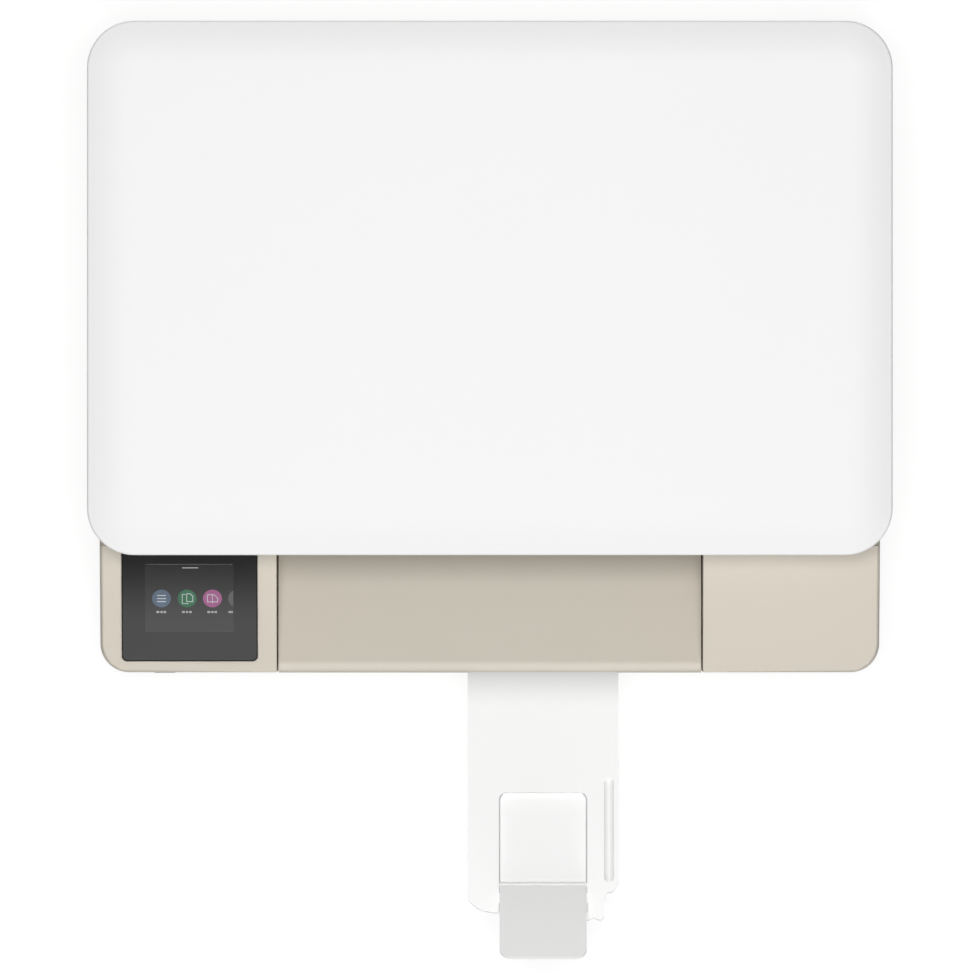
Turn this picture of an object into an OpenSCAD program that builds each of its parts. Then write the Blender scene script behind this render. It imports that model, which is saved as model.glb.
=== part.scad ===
// All-in-one inkjet printer: flatbed scanner and lid over a front-loading print engine.
// Modules draw in a front frame: x to the right, y from the front face to the rear, z up
// from the table. placed() then moves them so that the origin is the middle of the footprint.

/* [Body] */
// Width of the lower body
body_w = 445.6; // [441:0.2:450]
// Depth of the lower body
body_d = 371.3; // [368:0.1:382]
// Height of the deck under the scanner
deck_z = 143; // [142:0.5:147]
// Wall of the moulded covers
wall = 2.5; // [2.2:0.1:2.8]
// Plan radius of the front corners
front_r = 16.5; // [12:0.5:20]
// Plan radius of the rear corners
rear_r = 20; // [16:1:24]
// Rounding of the upper edges
edge_r = 2.2; // [2:0.1:3]
// Height of the rubber feet
foot_h = 3; // [2.5:0.25:4]
// Radius of the rubber feet
foot_r = 9; // [7:0.5:11]

/* [Brow] */
// Distance from the front face to the lid
setback = 67.3; // [66:0.1:70]
// Slope of the brow, in degrees
brow_tilt = 20; // [18:0.5:21]
// Side seam behind the front face
seam_y = 26; // [22:1:32]
// Height of the brow's side band
band_h = 12; // [9:0.5:15]
// Width of the control glass
glass_w = 77.7; // [76:0.5:82]
// Margin between the control glass and the body's left side
glass_side = 12.4; // [11:0.1:13]
// Margin between the control glass and the front face
glass_front = 6.4; // [5:0.1:8]
// Thickness of the control glass
glass_t = 2; // [1.6:0.1:2.4]
// Width of the display
display_w = 50.7; // [46:0.1:54]
// Height of the display along the slope
display_l = 42.3; // [38:0.1:44]
// Margin between the display and the body's left side
display_side = 26.3; // [24:0.1:27]
// Distance from the front face to the display
display_front = 23; // [20:0.5:25]
// Radius of the power button
button_r = 6; // [4.5:0.25:7]
// Travel of the power button
button_travel = 1.5; // [1:0.1:2]

/* [Output bin] */
// Width of the output bin
bin_w = 243.8; // [242:0.2:248]
// Gap between the bin and the fascias
bin_gap = 0.8; // [0.5:0.1:1]
// Height of the bin's front lip
lip_z = 100; // [99:0.5:102]
// Fall of the bin's floor to the rear, in degrees
bed_tilt = 6; // [5:0.25:6.5]
// Rounding of the front lip
lip_r = 6; // [4:0.5:7]
// Thickness of the bin's floor
bed_t = 2.2; // [1.8:0.1:2.4]

/* [Extender] */
// Width of the extender
ext_w = 86.4; // [84:0.2:90]
// Sideways place of the extender's middle
ext_x = 30.5; // [26:0.2:36]
// Length that stands out in front of the lip
ext_out = 137; // [132:0.2:144]
// Length that stays in the rails
ext_hold = 22; // [18:1:24]
// Thickness of the extender
ext_t = 5; // [4.8:0.1:5.4]
// Depth of the extender's top face below the bin's floor
ext_drop = 4.8; // [4.6:0.1:5.2]
// Width of the stop flap
stop_w = 49.8; // [48:0.3:54]
// Length of the stop flap
stop_l = 51; // [49:0.1:54]
// Thickness of the stop flap
stop_t = 2.4; // [2.2:0.1:2.6]
// Angle of the raised stop flap above the extender, in degrees
stop_raise = 30; // [26:1:34]

/* [Paper tray] */
// Paper width between the guides
paper_w = 216; // [210:1:218]
// Paper length in the tray
paper_l = 297; // [290:1:300]
// Height of the tray's front panel
tray_h = 44; // [42:0.5:45]
// Wall of the tray
tray_t = 2.2; // [2:0.1:2.4]
// Inward travel of each width guide
guide_travel = 57; // [50:1:58]
// Tooth module of the guide racks
rack_m = 1.5; // [1.4:0.1:1.6]
// Teeth of the guide pinion
pinion_teeth = 16; // [15:1:17]

/* [Print engine] */
// Height of the paper path
paper_z = 101; // [100.5:0.5:102]
// Radius of the feed roller
feed_r = 7.5; // [7:0.1:7.8]
// Radius of the exit rolls
exit_r = 6; // [5.5:0.1:6.2]
// Distance between the feed and the exit rollers
roller_gap = 44; // [43:0.5:45]
// Tooth module of the drive gears
gear_m = 1; // [0.97:0.01:1.02]
// Teeth of the feed gear
feed_teeth = 30; // [28:1:31]
// Teeth of the exit gear
exit_teeth = 24; // [23:1:25]
// Teeth of the idler gear
idler_teeth = 20; // [19:1:22]
// Teeth of the motor pinion
motor_teeth = 12; // [12:1:14]
// Width of the gears
gear_w = 6; // [5:0.5:6.5]
// Width of the carriage
carriage_w = 60; // [56:1:64]
// Distance that a cartridge pulls out
cart_pull = 45; // [42:1:48]
// Radius of the guide rod
rod_r = 4; // [3.5:0.1:4.5]
// Radius of the turn roller
turn_r = 18; // [16:0.5:19]
// Radius of the pick roller
pick_r = 11; // [10:0.5:11.5]

/* [Scanner] */
// Height of the scanner housing
scanner_h = 22.8; // [22:0.2:26]
// Gap between the deck and the scanner
scanner_gap = 3; // [2.8:0.1:3.4]
// Inset of the scanner inside the lid's outline
scanner_inset = 6.5; // [6:0.25:7.5]
// Plan radius of the scanner's corners
scanner_r = 24; // [20:1:26]
// Width of the scan glass
scan_glass_w = 308; // [300:1:316]
// Depth of the scan glass
scan_glass_d = 224; // [216:1:230]
// Radius of the prop arms about the scanner hinge
prop_r = 150; // [145:1:152]

/* [Lid] */
// Overhang of the lid beyond the body's sides
lid_over = 6.4; // [4:0.1:8]
// Height of the lid
lid_h = 21.5; // [20:0.5:24]
// Plan radius of the lid's corners
lid_r = 27; // [25:1:30]
// Width of the lid's soft edge
pillow_w = 22; // [18:1:24]
// Drop of the lid's soft edge
pillow_drop = 4.5; // [3.5:0.25:5.5]
// Sideways place of the lid hinges
lid_hinge_x = 140; // [130:1:150]

/* [Fits] */
// Seam between neighbouring pieces
seam = 0.3; // [0.2:0.05:0.35]
// Radial clearance of a shaft in its bore
shaft_fit = 0.05; // [0.03:0.01:0.08]

/* [Hidden] */

// Colours of the mouldings
beige = [0.85, 0.83, 0.78];
white = [0.95, 0.95, 0.95];
dark = [0.20, 0.20, 0.21];
steel = [0.72, 0.73, 0.75];

// Plan places
half_w = body_w / 2;
bin_half = bin_w / 2;
fascia_d = setback + 5.3;
tray_half = bin_half - 0.8;

// The extender's frame starts at the lip and falls to the rear with the bin's floor
lip_y = 5;
ext_end = (ext_out + lip_y) / cos(bed_tilt);
stop_hinge = ext_end - 16.1;
stop_axis_z = -ext_drop - 2.2;
stop_dir = stop_raise + bed_tilt;
stop_tip = stop_hinge * cos(bed_tilt) - stop_axis_z * sin(bed_tilt)
    + stop_l * cos(stop_dir) + stop_t / 2 * sin(stop_dir);
reach_out = stop_tip - lip_y;
front_y = (reach_out - body_d) / 2;

// Heights from the table
pan_z = foot_h + wall;
cover_z = foot_h + 3;
brow_z = deck_z + 0.9 - fascia_d * tan(brow_tilt);
tray_z = pan_z + seam;
tray_top = cover_z + tray_h;
tray_floor = tray_z + 9.2;
bay_z = tray_top + 2;
bay_t = 2.5;
frame_x = bin_half + 1;

// Print engine
carriage_y = fascia_d + cart_pull + 3;
exit_y = carriage_y + 6;
exit_z = paper_z - exit_r;
feed_y = exit_y + roller_gap;
feed_z = paper_z - feed_r;
feed_shaft_r = 4;
exit_shaft_r = 3;
pinch_r = 4;
pinch_z = paper_z + pinch_r + 0.2;
star_z = pinch_z;
roller_half = 112;
gear_x = frame_x + bay_t + 3.5;
plate_x = gear_x + gear_w + 2.5;
rod_y = feed_y + 7;
rod_z = paper_z + 20;
belt_y = rod_y + 17;
belt_z = rod_z + 5;
belt_h = 5;
belt_t = 1.2;
pulley_r = 6;
rail_y = belt_y + 15;
side_x = half_w - 15.5;
side_t = 2;
carriage_x = half_w - 28.5 - carriage_w / 2;
carriage_top = deck_z - wall - 1;
carriage_z = pinch_z + pinch_r + 1;
drive_x = side_x - 16;
turn_y = body_d - 41;
turn_z = 76;
pick_y = rail_y + 24;
pick_z = bay_z + 20;
pick_len = 0.584 * (turn_y - turn_r - pick_r - pick_y);
pick_rest = 12;

// Gear centres in the (y, z) plane and the turn that sets each gear in mesh
pressure = 25;
feed_c = [feed_y, feed_z];
exit_c = [exit_y, exit_z];
motor_dir = -112;
idler_dir = direction(feed_c, exit_c)
    + corner(norm(exit_c - feed_c), reach(feed_teeth, idler_teeth), reach(exit_teeth, idler_teeth));
idler_c = feed_c + polar(reach(feed_teeth, idler_teeth), idler_dir);
motor_c = feed_c + polar(reach(feed_teeth, motor_teeth), motor_dir);
idler_phase = mesh_phase(idler_dir, feed_teeth, 0, idler_teeth);
exit_phase = mesh_phase(direction(idler_c, exit_c), idler_teeth, idler_phase, exit_teeth);
motor_phase = mesh_phase(motor_dir, feed_teeth, 0, motor_teeth);

// Scanner and lid
lid_w = body_w + 2 * lid_over;
lid_rear = body_d;
scan_z = deck_z + scanner_gap;
scan_top = scan_z + scanner_h;
scan_w = lid_w - 2 * scanner_inset;
scan_front = setback + 1.8;
scan_rear = lid_rear - 9;
scan_axis = [scan_rear - 6, scan_z + 1];
scan_hinge_x = half_w - 43.5;
scan_mid = (scan_front + scan_rear) / 2 - 6;
scan_frame_t = 3;
scan_rod_z = scan_z + 8.2;
head_x = -scan_glass_w / 2 - 14;
lid_z = scan_top + 0.7;
lid_top = lid_z + lid_h;
lid_axis = [lid_rear - 4.5, scan_top + 2.4];
prop_x = half_w - 10.5;

// Shared round sizes
pin_r = 1.5;
stud_r = 2.5;
stop_pin_r = 1;
pick_shaft_r = 3;
turn_shaft_r = 3;
scan_rod_r = 3;

// Control panel, measured along the brow's slope
glass_y = glass_front / cos(brow_tilt);
glass_back = (fascia_d - 1) / cos(brow_tilt);
display_x = half_w - display_side - display_w;
display_y = display_front / cos(brow_tilt);
button_x = half_w - 36.7;
button_z = brow_z - 24;

// Output and tray places
bed_end = exit_y - exit_r - 1.5;
flap_half = stop_w / 2 + 0.35;
recess_l = stop_l - 0.3;
paper_y0 = 9;
tray_back = paper_y0 + paper_l + 7;
pinion_y = 200;
length_travel = 140;

// Rear pieces
door_half = 150;
door_axis = [body_d - 3, 62.8];
door_low = door_axis[1] - 3;
door_high = 128;
supply_x0 = frame_x + bay_t + 12;
supply_x1 = side_x - 8;
inlet_x = (supply_x0 + supply_x1) / 2 + 1;
inlet_z = 30;
usb_x = 60 - half_w;
usb_z = 46;

// Hinge hardware
prop_t = 4;
prop_h = 6;
post_t = 7;
post_y = lid_axis[0] - 15.5;
post_half = 8;
socket_half = 7;

// ---------------------------------------------------------------- functions

function polar(r, a) = [r * cos(a), r * sin(a)];
function direction(a, b) = atan2(b[1] - a[1], b[0] - a[0]);
// Angle at the first end of a triangle's base, from its three sides
function corner(base, near, far) = acos((base * base + near * near - far * far) / (2 * base * near));
// Centre distance of two meshing gears
function reach(a, b) = gear_m * (a + b) / 2;
// Turn of gear b that meshes it with gear a, b lying in direction dir from a
function mesh_phase(dir, a_teeth, a_phase, b_teeth) =
    dir + 180 - 360 / b_teeth * (0.5 - (dir - a_phase) * a_teeth / 360);
// Points on an arc about c
function arc(c, r, a0, a1, n = 6) = [for (i = [0:n]) c + polar(r, a0 + (a1 - a0) * i / n)];
// Outline of a rectangle with rounded corners
function round_rect(x0, x1, y0, y1, r, n = 6) = concat(
    arc([x1 - r, y0 + r], r, -90, 0, n), arc([x1 - r, y1 - r], r, 0, 90, n),
    arc([x0 + r, y1 - r], r, 90, 180, n), arc([x0 + r, y0 + r], r, 180, 270, n));
// Height of the brow's top face
function brow(y) = brow_z + y * tan(brow_tilt);
// Involute flank: polar angle at radius r for base radius b, in degrees
function involute(r, b) = r <= b ? 0 : sqrt(r * r / (b * b) - 1) * 180 / PI - acos(b / r);

// ---------------------------------------------------------------- helpers

module placed() { translate([0, front_y, 0]) children(); }

// A box from its low and high corners
module span(x0, x1, y0, y1, z0, z1) {
    translate([x0, y0, z0]) cube([x1 - x0, y1 - y0, z1 - z0]);
}

// A (y, z) outline drawn out along x
module along_x(x0, x1) {
    translate([x0, 0, 0]) rotate([90, 0, 90]) linear_extrude(x1 - x0) children();
}

// An (x, z) outline drawn out along y
module along_y(y0, y1) {
    translate([0, y1, 0]) rotate([90, 0, 0]) linear_extrude(y1 - y0) children();
}

// A round bar along x through (y, z)
module bar_x(x0, x1, y, z, r) {
    translate([x0, y, z]) rotate([0, 90, 0]) cylinder(r = r, h = x1 - x0, $fn = 48);
}

// A round bar along z through (x, y)
module bar_z(x, y, z0, z1, r) {
    translate([x, y, z0]) cylinder(r = r, h = z1 - z0, $fn = 48);
}

module both_sides() {
    children();
    mirror([1, 0, 0]) children();
}

// Frame of the brow: y along the slope, z off its top face
module on_brow() { translate([0, 0, brow_z]) rotate([brow_tilt, 0, 0]) children(); }

// Frame of the bin's floor: y along the floor to the rear, z off its top face
module on_bed() { translate([0, lip_y, lip_z]) rotate([-bed_tilt, 0, 0]) children(); }

// A section p of (distance outside the outline, height) swept round a rounded rectangle
module rim(w, y0, y1, r, p) {
    both_sides() {
        along_y(y0 + r, y1 - r) polygon([for (q = p) [w / 2 + q[0], q[1]]]);
        translate([w / 2 - r, y1 - r, 0]) rotate_extrude(angle = 90, $fn = 64)
            polygon([for (q = p) [r + q[0], q[1]]]);
        translate([w / 2 - r, y0 + r, 0]) rotate([0, 0, -90]) rotate_extrude(angle = 90, $fn = 64)
            polygon([for (q = p) [r + q[0], q[1]]]);
    }
    along_x(r - w / 2, w / 2 - r) polygon([for (q = p) [y1 + q[0], q[1]]]);
    along_x(r - w / 2, w / 2 - r) polygon([for (q = p) [y0 - q[0], q[1]]]);
}

// Outline of a spur gear with involute flanks and stub teeth, a tooth on the angle phase
module gear_outline(m, teeth, phase = 0) {
    pitch_r = m * teeth / 2;
    tip_r = pitch_r + 0.8 * m;
    root_r = pitch_r - 1.05 * m;
    base_r = pitch_r * cos(pressure);
    low_r = max(base_r, root_r);
    backlash = 0.12 * m;
    half_tooth = 90 / teeth - backlash / pitch_r * 180 / PI + involute(pitch_r, base_r);
    steps = 4;
    flank = [for (i = [0:steps]) let (r = low_r + (tip_r - low_r) * i / steps)
        [r, half_tooth - involute(r, base_r)]];
    root_turn = half_tooth - involute(low_r, base_r);
    polygon([for (t = [0:teeth - 1]) let (a = phase + 360 * t / teeth) each concat(
        [polar(root_r, a - root_turn)],
        [for (f = flank) polar(f[0], a - f[1])],
        [for (i = [steps:-1:0]) polar(flank[i][0], a + flank[i][1])],
        [polar(root_r, a + root_turn)])]);
}

// A drive gear about an x axis through c
module drive_gear(c, teeth, phase, bore_r) {
    difference() {
        translate([0, c[0], c[1]]) along_x(-gear_x - gear_w, -gear_x) gear_outline(gear_m, teeth, phase);
        bar_x(-gear_x - gear_w - 1, -gear_x + 1, c[0], c[1], bore_r);
    }
}

// ---------------------------------------------------------------- casing

// Bottom pan: a rounded plate with rows of vents beside the paper tray
module base_pan() {
    in = wall + seam;
    pan_r = max(front_r, rear_r) - in;
    vent_w = 3;
    vent_l = 26;
    color(dark) placed() difference() {
        translate([0, 0, foot_h]) linear_extrude(wall)
            polygon(round_rect(in - half_w, half_w - in, in, body_d - in, pan_r));
        both_sides() for (y = [0:7])
            span(half_w - 80, half_w - 80 + vent_l, 90 + 12 * y, 90 + 12 * y + vent_w, foot_h - 1, pan_z + 1);
    }
}

// Four rubber feet with a chamfered tread
module feet() {
    chamfer = 0.8;
    margin = 34;
    color([0.1, 0.1, 0.1]) placed() both_sides() for (y = [margin, body_d - margin])
        translate([half_w - margin, y, 0]) {
            cylinder(r1 = foot_r - chamfer, r2 = foot_r, h = chamfer, $fn = 48);
            translate([0, 0, chamfer]) cylinder(r = foot_r, h = foot_h - chamfer, $fn = 48);
        }
}

// Right-hand side cover: flank, rounded shoulder and the deck shelf behind the brow
module side_cover() {
    shelf = 38;
    y0 = fascia_d + seam;
    chamfer = 1.5;
    section = concat([[-wall, cover_z], [-chamfer, cover_z], [0, cover_z + chamfer]],
        arc([-edge_r, deck_z - edge_r], edge_r, 0, 90),
        [[-rear_r, deck_z], [-rear_r, deck_z - wall], [-wall, deck_z - wall]]);
    slot_y = scan_axis[0] - prop_r;
    color(beige) placed() difference() {
        union() {
            along_x(half_w - wall, half_w) polygon([[seam_y + seam, cover_z], [y0, cover_z],
                [y0, brow(y0) - band_h - seam], [seam_y + seam, brow(seam_y) - band_h - seam]]);
            along_y(y0, body_d - rear_r) polygon([for (q = section) [half_w + q[0], q[1]]]);
            translate([half_w - rear_r, body_d - rear_r, 0]) rotate_extrude(angle = 90, $fn = 64)
                polygon([for (q = section) [rear_r + q[0], q[1]]]);
            along_x(half_w - shelf, half_w - rear_r) polygon([for (q = section) [body_d + q[0], q[1]]]);
            span(half_w - shelf, half_w - rear_r, y0, body_d - rear_r, deck_z - wall, deck_z);
        }
        // slot for the prop arm
        span(prop_x - 0.6, prop_x + prop_t + 0.6, slot_y - prop_h / 2 - 0.8, slot_y + prop_h / 2 + 0.8,
            deck_z - wall - 1, deck_z + 1);
    }
}
module side_cover_right() { side_cover(); }
module side_cover_left() { mirror([1, 0, 0]) side_cover(); }

// Rear cover with the deck behind the carriage, the rear door's opening and the scanner's ears
module rear_cover() {
    rx = half_w - 38 - seam;
    y0 = rail_y + 6;
    chamfer = 1.5;
    ear_r = 3.5;
    color(beige) placed() difference() {
        union() {
            along_x(-rx, rx) polygon(concat(
                [[body_d - wall, cover_z], [body_d - chamfer, cover_z], [body_d, cover_z + chamfer]],
                arc([body_d - edge_r, deck_z - edge_r], edge_r, 0, 90),
                [[y0, deck_z], [y0, deck_z - wall], [body_d - wall, deck_z - wall]]));
            both_sides() {
                bar_x(door_half + seam, door_half + 5, door_axis[0], door_axis[1], 3);
                for (x = [scan_hinge_x - 6, scan_hinge_x + 3]) {
                    bar_x(x, x + 3, scan_axis[0], scan_axis[1], ear_r);
                    span(x, x + 3, scan_axis[0] - ear_r, scan_axis[0] + ear_r, deck_z, scan_axis[1]);
                }
            }
        }
        span(-door_half - seam, door_half + seam, body_d - wall - 4, body_d + 1, door_low, door_high);
        both_sides() {
            bar_x(door_half, door_half + 4, door_axis[0], door_axis[1], pin_r + shaft_fit);
            bar_x(scan_hinge_x - 7, scan_hinge_x + 7, scan_axis[0], scan_axis[1], pin_r + shaft_fit);
        }
        // windows for the mains inlet and the data port
        span(inlet_x - 15, inlet_x + 15, body_d - wall - 1, body_d + 1, inlet_z - 10, inlet_z + 10);
        span(usb_x - 7, usb_x + 7, body_d - wall - 1, body_d + 1, usb_z - 6.5, usb_z + 6.5);
    }
}

// Outer form of a front fascia: rounded corner, sloping brow, soft edges
module fascia_block() {
    inner_r = 0.5;
    steps = 4;
    drop = 1 / cos(brow_tilt);
    beyond = fascia_d + 12;
    intersection() {
        hull() {
            for (i = [0:steps]) {
                c = [half_w - front_r, front_r] + polar(front_r - edge_r, -90 + 90 * i / steps);
                translate([c[0], c[1], brow(c[1]) - edge_r * drop]) sphere(r = edge_r, $fn = 20);
                translate([c[0], c[1], cover_z]) cylinder(r = edge_r, h = 1, $fn = 20);
            }
            for (y = [inner_r, beyond]) {
                translate([bin_half + inner_r, y, brow(y) - inner_r * drop]) sphere(r = inner_r, $fn = 12);
                translate([bin_half + inner_r, y, cover_z]) cylinder(r = inner_r, h = 1, $fn = 12);
            }
            translate([half_w - edge_r, beyond, brow(beyond) - edge_r * drop]) sphere(r = edge_r, $fn = 20);
            translate([half_w - edge_r, beyond, cover_z]) cylinder(r = edge_r, h = 1, $fn = 20);
        }
        span(0, body_w, -1, fascia_d, 0, 2 * deck_z);
    }
}

// Right-hand front fascia: a moulded shell, stepped back under its side band
module fascia() {
    drop = wall / cos(brow_tilt);
    rib = 1.6;
    placed() {
        difference() {
            fascia_block();
            intersection() {
                along_x(bin_half + wall, half_w - wall) polygon([[wall, 0], [fascia_d + 1, 0],
                    [fascia_d + 1, brow(fascia_d + 1) - drop], [wall, brow(wall) - drop]]);
                linear_extrude(2 * deck_z) polygon(concat([[0, wall]],
                    arc([half_w - front_r, front_r], front_r - wall, -90, 0),
                    [[half_w - wall, 2 * fascia_d], [0, 2 * fascia_d]]));
            }
            along_x(half_w - wall - 0.5, half_w + 1) polygon([[seam_y, 0], [fascia_d + 1, 0],
                [fascia_d + 1, brow(fascia_d + 1) - band_h], [seam_y, brow(seam_y) - band_h]]);
        }
        for (x = [bin_half + 30, half_w - 40])
            span(x, x + rib, wall, 11, cover_z + 6, button_z - button_r - 4);
    }
}
module front_fascia_right() { color(beige) fascia(); }

// Left-hand fascia with the glass pocket, the display window and the button's bore
module front_fascia_left() {
    gx = half_w - glass_side - glass_w;
    pad = 4.2;
    color(beige) mirror([1, 0, 0]) difference() {
        union() {
            fascia();
            placed() on_brow() span(gx - 2, gx + glass_w + 2, 6, glass_back - 3, -pad, -wall + 0.2);
        }
        placed() {
            on_brow() translate([0, 0, 0.2 - glass_t]) linear_extrude(glass_t + 5)
                polygon(round_rect(gx - seam, gx + glass_w + seam, glass_y - seam, glass_back + 9, 3.3));
            on_brow() span(display_x - seam, display_x + display_w + seam,
                display_y - seam, display_y + display_l + seam, -pad - 1, 1);
            translate([button_x, -1, button_z]) rotate([-90, 0, 0])
                cylinder(r = button_r + seam, h = wall + 2, $fn = 48);
        }
    }
}

// Dark glass over the control panel
module control_glass() {
    gx = half_w - glass_side - glass_w;
    color([0.12, 0.12, 0.12]) mirror([1, 0, 0]) placed() on_brow()
        translate([0, 0, 0.2 - glass_t]) linear_extrude(glass_t)
            polygon(round_rect(gx, gx + glass_w, glass_y, glass_back, 3.3));
}

// Display module on the underside of the glass
module display_screen() {
    thick = 3.2;
    color([0.35, 0.37, 0.37]) mirror([1, 0, 0]) placed() on_brow()
        span(display_x, display_x + display_w, display_y, display_y + display_l,
            0.2 - glass_t - thick, 0.2 - glass_t);
}

// Power button: a round cap with a flange behind the fascia's wall
module power_button() {
    color([0.75, 0.76, 0.76]) mirror([1, 0, 0]) placed() translate([button_x, 0, button_z])
        rotate([-90, 0, 0]) {
            translate([0, 0, -0.4]) cylinder(r = button_r, h = wall + 1.4, $fn = 48);
            translate([0, 0, wall + seam]) cylinder(r = button_r + 1.5, h = 1.5, $fn = 48);
        }
}

// ---------------------------------------------------------------- output

// Height of the bin's floor
function bed(y) = lip_z - (y - lip_y) * tan(bed_tilt);

// Output bin: sloping floor with a rounded lip, front apron, side walls and the extender's rails
module output_tray() {
    w = bin_half - bin_gap;
    low = bay_z + bay_t + seam;
    front = -0.3;
    cy = front + lip_r;
    cz = bed(cy) - lip_r / cos(bed_tilt);
    skirt = 2;
    ex0 = ext_x - ext_w / 2;
    ex1 = ext_x + ext_w / 2;
    bed_l = (bed_end - lip_y) / cos(bed_tilt);
    under = -ext_drop - ext_t - seam;
    rail = 2.5;
    lap = 4;
    color(beige) placed() {
        difference() {
            union() {
                along_x(-w, w) polygon(concat([[front + bed_t, low], [front, low]],
                    arc([cy, cz], lip_r, 180, 90 - bed_tilt, 8), [[bed_end, bed(bed_end)],
                    [bed_end, bed(bed_end) - bed_t / cos(bed_tilt)]],
                    arc([cy, cz], lip_r - bed_t, 90 - bed_tilt, 180, 8)));
                both_sides() along_x(w - skirt, w) polygon([[front + bed_t / 2, low], [bed_end, low],
                    [bed_end, paper_z + 7], [fascia_d + seam, paper_z + 7],
                    [fascia_d + seam, bed(fascia_d) - bed_t / 2], [cy, bed(cy) - bed_t / 2], [front + bed_t / 2, cz]]);
            }
            on_bed() span(ex0 - 2 * seam, ex1 + 2 * seam, -lip_y - 5, 1, under - seam, -ext_drop + 2 * seam);
        }
        on_bed() for (s = [0, 1]) {
            side = s == 0 ? ex0 - seam - rail : ex1 + seam;
            inner = s == 0 ? side : side - lap;
            span(side, side + rail, -1, bed_l, under - 2, -bed_t + 0.2);
            span(inner, inner + lap + rail, -1, bed_l, under - 2, under);
            span(inner, inner + lap + rail, -1, bed_l, -ext_drop + seam, -bed_t + 0.2);
        }
    }
}

// Slide-out extender with the flap's recess, a pill-shaped groove and two prongs
module tray_extender() {
    x0 = ext_x - ext_w / 2;
    x1 = ext_x + ext_w / 2;
    n0 = ext_x - flap_half;
    n1 = ext_x + flap_half;
    root = -stop_hinge + 2.2;
    groove_w = 5.7;
    groove_d = 1.5;
    groove_x = x1 - 5.5;
    groove_r = (groove_w * groove_w / 4 + groove_d * groove_d) / (2 * groove_d);
    channel = 0.8;
    outline = concat(
        [[x1, ext_hold], [x0, ext_hold]],
        [for (i = [0:5]) let (a = 18 * i) [x0 + 16 * (1 - cos(a)), 10.5 * (1 - sin(a)) - ext_end]],
        [[n0, -ext_end], [n0, root], [n1, root], [n1, -ext_end - 4.6], [x1 - 14.4, -ext_end - 2.8],
        [x1 - 10.4, -ext_end - 4.5], [x1 - 8.1, -ext_end - 2.4], [x1 - 8.1, 7.2 - ext_end],
        [x1 - 6.4, 11.7 - ext_end], [x1 - 4, 11.7 - ext_end], [x1 - 1.7, 14 - ext_end], [x1, 17.7 - ext_end]]);
    color(white) placed() on_bed() difference() {
        translate([0, 0, -ext_drop - ext_t]) linear_extrude(ext_t) polygon(outline);
        // recess, and the finger dip at its rear end
        translate([0, 0, stop_axis_z - stop_t / 2 - seam]) linear_extrude(ext_t)
            polygon(round_rect(n0, n1, root - 9, root + recess_l, 4));
        translate([0, 0, stop_axis_z - stop_t / 2 - 3 * seam]) linear_extrude(ext_t)
            polygon(round_rect(n0, n1, root + recess_l - 13, root + recess_l, 4));
        // channels along the recess
        for (x = [n0, n1 - channel])
            span(x, x + channel, root - 1, root + recess_l - 5, -ext_drop - ext_t + 0.9, 0);
        // groove
        intersection() {
            union() {
                for (y = [root + 2, root + 56])
                    bar_z(groove_x, y, -ext_drop - groove_d - 1, 1, groove_w / 2);
                span(groove_x - groove_w / 2, groove_x + groove_w / 2, root + 2, root + 56,
                    -ext_drop - groove_d - 1, 1);
            }
            translate([groove_x, root - 2, groove_r - ext_drop - groove_d]) rotate([-90, 0, 0])
                cylinder(r = groove_r, h = 62, $fn = 48);
        }
        bar_x(n0 - 3, n1 + 3, -stop_hinge, stop_axis_z, stop_pin_r + shaft_fit);
    }
}

// Stop flap, raised on two stub pins
module paper_stop() {
    far_r = 6.4;
    color([0.87, 0.87, 0.87]) placed() on_bed() translate([ext_x, -stop_hinge, stop_axis_z])
        rotate([-stop_raise, 0, 0]) {
            translate([0, 0, -stop_t / 2]) linear_extrude(stop_t) polygon(concat(
                arc([far_r - stop_w / 2, far_r - stop_l], far_r, 180, 270),
                arc([stop_w / 2 - far_r, far_r - stop_l], far_r, 270, 360),
                [[stop_w / 2, 0], [-stop_w / 2, 0]]));
            bar_x(-stop_w / 2, stop_w / 2, 0, 0, 1.6);
            bar_x(-flap_half - 2.7, flap_half + 2.7, 0, 0, stop_pin_r);
        }
}

// ---------------------------------------------------------------- paper tray

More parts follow.
